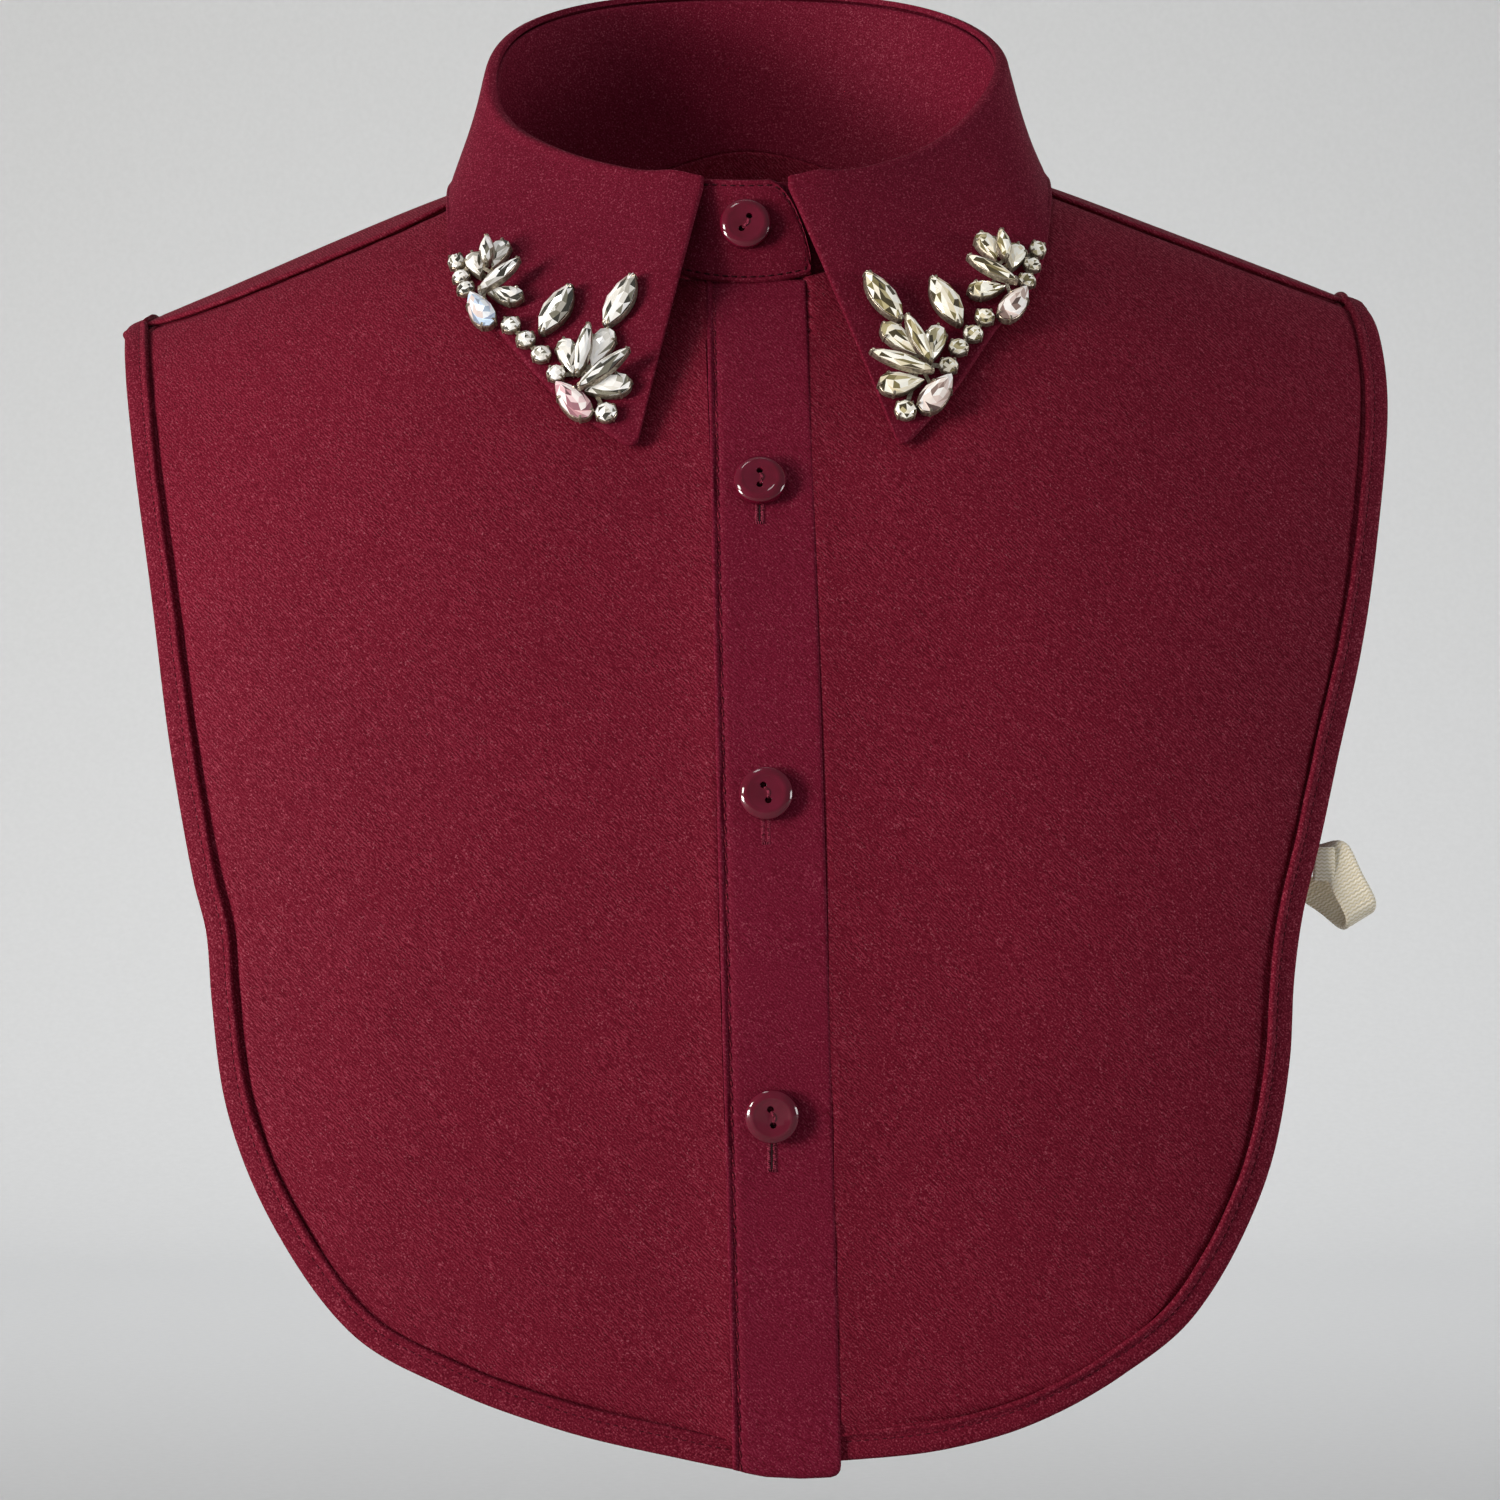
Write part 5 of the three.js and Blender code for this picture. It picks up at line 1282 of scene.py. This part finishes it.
# A cut stone: pavilion, girdle, a crown of long triangles and a split table
def cutStone(stone, base, height, count):
    turns = np.arange(count) * 2 * math.pi / count
    half = turns + math.pi / count
    waist = base + crystal["girdle"] * height
    rings = [ringAt(stone, turns, cut["foot"], base),
             ringAt(stone, turns, cut["waist"], waist - 0.14),
             ringAt(stone, turns, 1.0, waist + 0.1),
             ringAt(stone, half, cut["crown"], base + cut["crownAt"] * height),
             ringAt(stone, turns[::2], cut["table"], base + height + 0.12)]
    isReversed = stone[1] in ("pear", "drop")
    if isReversed:
        rings[3:] = [np.roll(ring, 1, axis=0) for ring in rings[3:]]
    starts = np.cumsum([0] + [len(ring) for ring in rings])
    faces = [tuple(range(count))[::-1]]
    for i in range(count):
        j = (i + 1) % count
        faces.append((i, j, count + j, count + i))
        faces.append((count + i, count + j, 2 * count + j, 2 * count + i))
    girdle, crown, table, middle = starts[2:]
    for i in range(count):
        j, k = (i + 1) % count, (i - 1) % count
        faces.append((girdle + i, girdle + j, crown + i))
        faces.append((girdle + i, crown + i, crown + k))
    tableCount = len(rings[4])
    for i in range(tableCount):
        m = (2 * i + isReversed) % count
        before, after, following = (crown + (m + step) % count for step in (-1, 0, 1))
        corner, nextCorner = table + i, table + (i + 1) % tableCount
        faces.append((before, after, corner))
        faces.append((after, following, corner))
        faces.append((corner, following, nextCorner))
    for i in range(tableCount):
        faces.append((table + i, table + (i + 1) % tableCount, middle))
    return np.concatenate([*rings, [rings[4].mean(0) + (0, 0, 0.05)]]), faces


# Two faces that follow each other share a painted reflection tone, drawn at random
def paintFacetReflections(piece, tone, seed):
    random = np.random.default_rng(seed)
    palette = np.array([linear(code) for code in reflectionTones[tone]])
    shares = np.array([0.32, 0.2, 0.12, 0.1, 0.13, 0.13])
    facets = piece.data.attributes.new("facet", "FLOAT_COLOR", "CORNER")
    group = np.arange(len(piece.data.polygons)) // 2
    picked = random.choice(len(palette), group[-1] + 1, p=shares)[group]
    colours = np.repeat(palette[picked], [len(face.vertices) for face in piece.data.polygons], axis=0)
    facets.data.foreach_set("color", colours.astype(np.float32).ravel())


# A stamped cup round a stone: a thin wall, a little wider just above its foot
def cup(stone, base, rim, margin, count=28):
    turns = np.arange(count) * 2 * math.pi / count
    profile = [(margin, base), (margin + 0.1, base + 0.25), (margin + 0.08, rim - 0.1),
               (margin, rim), (margin - 0.12, rim - 0.05), (margin - 0.15, base + 0.3)]
    rings = np.stack([ringAt(stone, turns, 1, height, growth) for growth, height in profile], axis=1)
    rings = np.concatenate([rings, rings[:1]])
    places, faces = sweep(rings)
    faces = faces[:-2]
    size = len(places) - len(profile)
    return places[:size], [tuple(i % size for i in face) for face in faces]


# A claw: a rounded prong that rises beside the cup and bends over the stone
def claw(spot, inward, base, rim, reach, thick):
    path = np.array([(0, base), (-0.02, (base + rim) / 2), (0.02, rim), (0.22, rim + 0.42),
                     (0.62, rim + 0.62), (reach, rim + 0.5)])
    points = spot[None, :2] + path[:, :1] * inward[None, :2]
    points = np.column_stack([points, path[:, 1]])
    along = unit(np.gradient(points, axis=0))
    side = np.array([-inward[1], inward[0], 0.0])
    up = np.cross(side, along)
    turns = np.arange(8) * math.pi / 4
    widths = thick * np.array([1.0, 1.0, 1.05, 1.1, 1.0, 0.55])[:, None, None]
    rings = points[:, None] + widths * (np.cos(turns)[None, :, None] * side
                                        + 0.75 * np.sin(turns)[None, :, None] * up[:, None])
    return sweep(rings)


clawAngles = {"navette": (22, 158, 202, 338), "pear": (118, 180, 242), "drop": (70, 150, 210, 290),
              "round": (45, 135, 225, 315)}


def claws(stone, base, rim, margin, scale):
    angles = np.radians(clawAngles[stone[1]])
    spots = ringAt(stone, angles, 1, 0, margin)
    made = []
    for spot in spots:  # on a long stone the claws bend across it rather than along it
        inward = -spot * np.array([(stone[3] / stone[2]) ** 1.6, 1, 0])
        inward = inward / max(np.linalg.norm(inward), 1e-6)
        made.append(claw(spot, inward, base, rim, 0.8 * scale, 0.31 * scale))
    return made


# A soldered bar between two cups
def bar(start, end, width, thick):
    along = end - start
    side = unit(np.cross(along, (0.0, -1.0, 0.0)))
    up = unit(np.cross(side, along))
    corners = [(-1, -1), (1, -1), (1, 1), (-1, 1)]
    rings = np.stack([[spot + side * width / 2 * a + up * thick / 2 * b for a, b in corners]
                      for spot in (start, end)])
    return sweep(rings)


def over(axes, height):
    return axes[3] + axes[2] * height


def addStone(name, stone, axes, foot, height, count, tone, seed):
    places, faces = cutStone(stone, foot, height, count)
    piece = makePiece(f"stone_{name}", placed(places, axes), faces, glass, "crystal", smooth=False)
    paintFacetReflections(piece, tone, seed)
    return piece


def placedParts(axes, *parts):
    return [(placed(places, axes), faces) for places, faces in parts]


stoneTones = {"right": {"upper_drop": "blue", "lower_drop": "pink"},
              "left": {"upper_drop": "blush", "lower_drop": "blush"}}
petalGrowth = 0.2
metalGroups = {"upper": "settings_upper", "lower": "settings_lower", "chain": "chain"}
for side in ("right", "left"):
    pick, sideTone, seed = (5, "cool", 0) if side == "right" else (6, "warm", 40)
    metal = {"upper": [], "lower": [], "chain": [], "navette_1": [], "navette_2": []}
    for number, stone in enumerate(stones):
        name, shape, length, width, tier = stone[:5]
        spotX, spotZ, turn = stone[pick]
        if "petal" in name:  # the petals reach almost to the hub
            shift = -petalGrowth * length / 2
            spotX, spotZ = (spotX + shift * math.cos(math.radians(turn)),
                            spotZ + shift * math.sin(math.radians(turn)))
            length, width = length * (1 + petalGrowth), width * 1.12
        stone = (name, shape, length, width)
        lift = tier * crystal["tierStep"]
        axes = stoneFrame(spotX, spotZ, turn, 2.5 + lift)
        base, foot = crystal["foot"] + lift, crystal["cupFoot"] + lift
        isAlone, isWide = name.startswith("navette"), width > 4
        group = name if isAlone else name[:5]
        girdle = base + crystal["girdle"] * crystal["height"]
        piece = addStone(f"{name}_{side}", stone, axes, base,
                         crystal["height"] + (0.35 if isAlone else 0.1), 12 if isWide else 8,
                         stoneTones[side].get(name, sideTone), seed + number)
        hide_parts(f"crystal_{name}_{side}")
        prongs = claws(stone, foot + 0.3, girdle, 0.2, 1.0 if isWide else 0.75)
        metal[group] += placedParts(axes, cup(stone, foot, girdle - 0.1, 0.0), *prongs)
        if not isAlone:
            hub = stoneFrame(*hubs[group][side], 0)
            metal[group].append(bar(over(hub, foot + 0.3), over(axes, foot + 0.3), 0.8, 0.5))
    links = {"upper": None, "lower": None, "chain": None}
    for number, stud in enumerate(studs):
        group, length, width = stud[:3]
        stone = ("round", "round", length, width)
        axes = stoneFrame(*stud[pick - 2], 2.2)
        addStone(f"round_{number + 1}_{side}", stone, axes, roundStone["foot"],
                 roundStone["height"], 8, sideTone, 100 + seed + number)
        foot, rim, margin = (roundStone[key] for key in ("cupFoot", "cupRim", "cupMargin"))
        metal[group] += placedParts(axes, cup(stone, foot, rim, margin, 24),
                                    *claws(stone, foot + 0.2, rim + 0.1, 0.22, 0.8))
        # soldered to the one before it, or to its motif's hub
        last = links[group] if group != "lower" else None
        if last is None and group != "chain":
            last = over(stoneFrame(*hubs[group][side], 0), 0.8)
        if last is not None:
            metal[group].append(bar(last, over(axes, 0.8), 1.0, 0.5))
        links[group] = over(axes, 0.8)
    for group, parts in metal.items():
        piece = makePiece(f"cups_{group}_{side}", *joined(parts), silver, "silver", turn=35)
        if group in metalGroups:
            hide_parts(f"{metalGroups[group]}_{side}")
print("crystals made")


# Elastic straps

strap = {"width": 9, "wall": 1.2, "frontZ": -163, "backZ": -134, "sewn": 9, "behind": 1.4}
strapSide = [(0.25, 117, -62), (0.5, 116, -12), (0.75, 115, 38)]
loop = {"width": 7.8, "wall": 1.2, "across": (0.85, 0, 0.53), "tabWidth": 4.8}
tabPath = [(129, -93.9, -151.2), (129.1, -94.1, -155), (128.9, -93.9, -158.6)]  # its turned-back end
loopPath = [(125.5, -89, -153), (130.6, -92.5, -152.2), (134.2, -94, -158.8), (137.4, -93.5, -165.5),
            (136.6, -91, -167.4), (131.6, -88.5, -163.6), (125.3, -86.4, -159.4)]


def ribbon(path, acrossWay, width, wall, rows, ribs=0.14):
    curve = evenCurve(path, 600)
    shares = np.linspace(0, 1, rows)
    spine = curve(shares)
    along = unit(np.gradient(spine, axis=0))
    length = np.linalg.norm(np.diff(spine, axis=0), axis=-1).sum()
    normals = unit(np.cross(along, np.broadcast_to(acrossWay, along.shape)))
    wide = np.array([-1, -0.96, -0.86, -0.7, -0.4, 0, 0.4, 0.7, 0.86, 0.96, 1])
    half = wall / 2 * np.array([0.35, 0.75, 1.0, 0.86, 0.88, 0.88, 0.88, 0.86, 1.0, 0.75, 0.35])
    rib = ribs * np.sin(shares[:, None] * length / 1.1 * 2 * math.pi + 2.2 * np.abs(wide)[None, :])
    rib = rib * (np.abs(wide) < 0.8)[None, :] * 0.5
    rings = []
    for sign, order in ((1, range(11)), (-1, range(10, -1, -1))):
        for i in order:
            rings.append(spine + np.asarray(acrossWay) * (wide[i] * width / 2)
                         + normals * (sign * (half[i] + rib[:, i]))[:, None])
    places, faces = sweep(np.stack(rings, axis=1))
    uv = np.stack([np.repeat(shares * length, 22),
                   np.tile([*wide, *wide[::-1]], rows) * width / 2], axis=1)
    return places, faces, uv * mm


def ribbonPiece(name, cadNode, parts):
    places, faces = joined([part[:2] for part in parts])
    piece = makePiece(name, places, faces, elastic, "elastic", turn=60)
    uv = np.concatenate([part[2] for part in parts])
    layer = piece.data.uv_layers.new(name="cloth")
    corners = np.zeros(len(piece.data.loops), int)
    piece.data.loops.foreach_get("vertex_index", corners)
    layer.data.foreach_set("uv", uv[corners].ravel())
    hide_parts(cadNode)
    return piece


def behindEdge(edge, z, distance):
    shares = np.linspace(0, edge["corner"], 4000)
    share = np.interp(-z, -bodyPoint(*edge["place"](shares))[:, 2], shares)
    x, q = insetPlace(edge, share, distance)
    point = bodyPoint(x, q) - bodyNormal(x, q) * strap["behind"]
    point[2] = z
    return point


for side, sign in (("right", -1), ("left", 1)):
    front, rear = frontEdges[side], halfEdge(backWhole, sign)
    path = [behindEdge(front, strap["frontZ"], strap["sewn"]),
            behindEdge(front, strap["frontZ"], strap["sewn"] / 4),
            *[np.array([sign * out, y, mix(strap["frontZ"], strap["backZ"], share)])
              for share, out, y in strapSide],
            behindEdge(rear, strap["backZ"], strap["sewn"] / 4),
            behindEdge(rear, strap["backZ"], strap["sewn"])]
    ribbonPiece(f"elastic_side_{side}", f"side_strap_{side}",
                [ribbon(path, (0.0, 0.0, 1.0), strap["width"], strap["wall"], 420)])
acrossLoop = unit(np.array(loop["across"]))
ribbonPiece("elastic_loop_left", "strap_loop_left",
            [ribbon(loopPath, acrossLoop, loop["width"], loop["wall"], 160),
             ribbon(tabPath, (1.0, 0.0, 0.0), loop["tabWidth"], loop["wall"], 40)])
print("straps made")


# Studio: a pale floor that sweeps up behind, two soft lights from the left, a fill from the
# right, a small one from above and one on the backdrop

studio = {"floorZ": -0.36, "near": -1.6, "far": 1.7, "high": 2.2, "half": 2.2, "bend": 0.7}


def makeFloor():
    bpy.ops.object.select_all(action="DESELECT")
    bpy.ops.mesh.primitive_plane_add(size=1, location=(0, 0, 0))
    floor = bpy.context.object
    floor.name = "studio_floor"
    floor.scale = (2 * studio["half"], studio["far"] - studio["near"], 1)
    floor.location = (0, (studio["far"] + studio["near"]) / 2, studio["floorZ"])
    bpy.ops.object.transform_apply(location=True, scale=True)
    for face in floor.data.polygons:
        face.select = False
    for vertex in floor.data.vertices:
        vertex.select = vertex.co.y > 0
    for edge in floor.data.edges:
        edge.select = all(floor.data.vertices[i].co.y > 0 for i in edge.vertices)
    bpy.ops.object.mode_set(mode="EDIT")
    bpy.ops.mesh.select_mode(type="EDGE")
    bpy.ops.mesh.extrude_region_move(TRANSFORM_OT_translate={"value": (0, 0, studio["high"])})
    bpy.ops.object.mode_set(mode="OBJECT")
    bend = floor.modifiers.new("sweep", "BEVEL")
    bend.width = studio["bend"]
    bend.segments = 24
    applyAll(floor)
    floor.data.shade_smooth()
    return floor


# Seamless background paper: pale and matt, with a trace of fibre
def paperMaterial():
    material, tree, shader = newMaterial("background paper")
    spot = node(tree, "ShaderNodeTexCoord").outputs["Object"]
    fibre = node(tree, "ShaderNodeTexNoise", inputs={"Vector": spot, "Scale": 1 / (3 * mm)})
    colour = ramp(tree, fibre.outputs["Fac"], [(0.3, "#c6c7c8"), (0.7, "#c9cacb")])
    fillSockets(tree, shader, {"Base Color": colour, "Roughness": 0.9})
    return material


floor = makeFloor()
floor.data.materials.append(paperMaterial())


def areaLight(name, place, aim, size, watts, code="#ffffff", spread=180):
    data = bpy.data.lights.new(name, "AREA")
    data.shape = "RECTANGLE"
    data.size, data.size_y = size
    data.energy = watts
    data.spread = math.radians(spread)
    data.color = linear(code)[:3]
    light = bpy.data.objects.new(name, data)
    light.location = place
    light.rotation_euler = (Vector(aim) - Vector(place)).to_track_quat("-Z", "Y").to_euler()
    scene.collection.objects.link(light)


middle = (0, -0.08, -0.12)
areaLight("high key", (-1.75, -1.2, 0.6), middle, (0.45, 0.4), 15.5, "#fffaf2")
areaLight("low key", (-1.85, -1.15, -0.1), middle, (0.55, 0.4), 34, "#fffaf2")
areaLight("fill", (2.0, -0.42, 0.08), middle, (0.8, 0.6), 14.5)
areaLight("crown", (-0.5, -0.4, 1.5), middle, (0.35, 0.35), 2.5)
areaLight("backdrop", (0, 0.35, 1.3), (0, 1.1, -0.2), (1.6, 0.3), 6.5, spread=88)

world = bpy.data.worlds.new("studio")
world.use_nodes = True
fillSockets(world.node_tree, world.node_tree.nodes["Background"], {
    "Color": linear("#dfe3e8"), "Strength": 0.24})
scene.world = world
print("studio made")
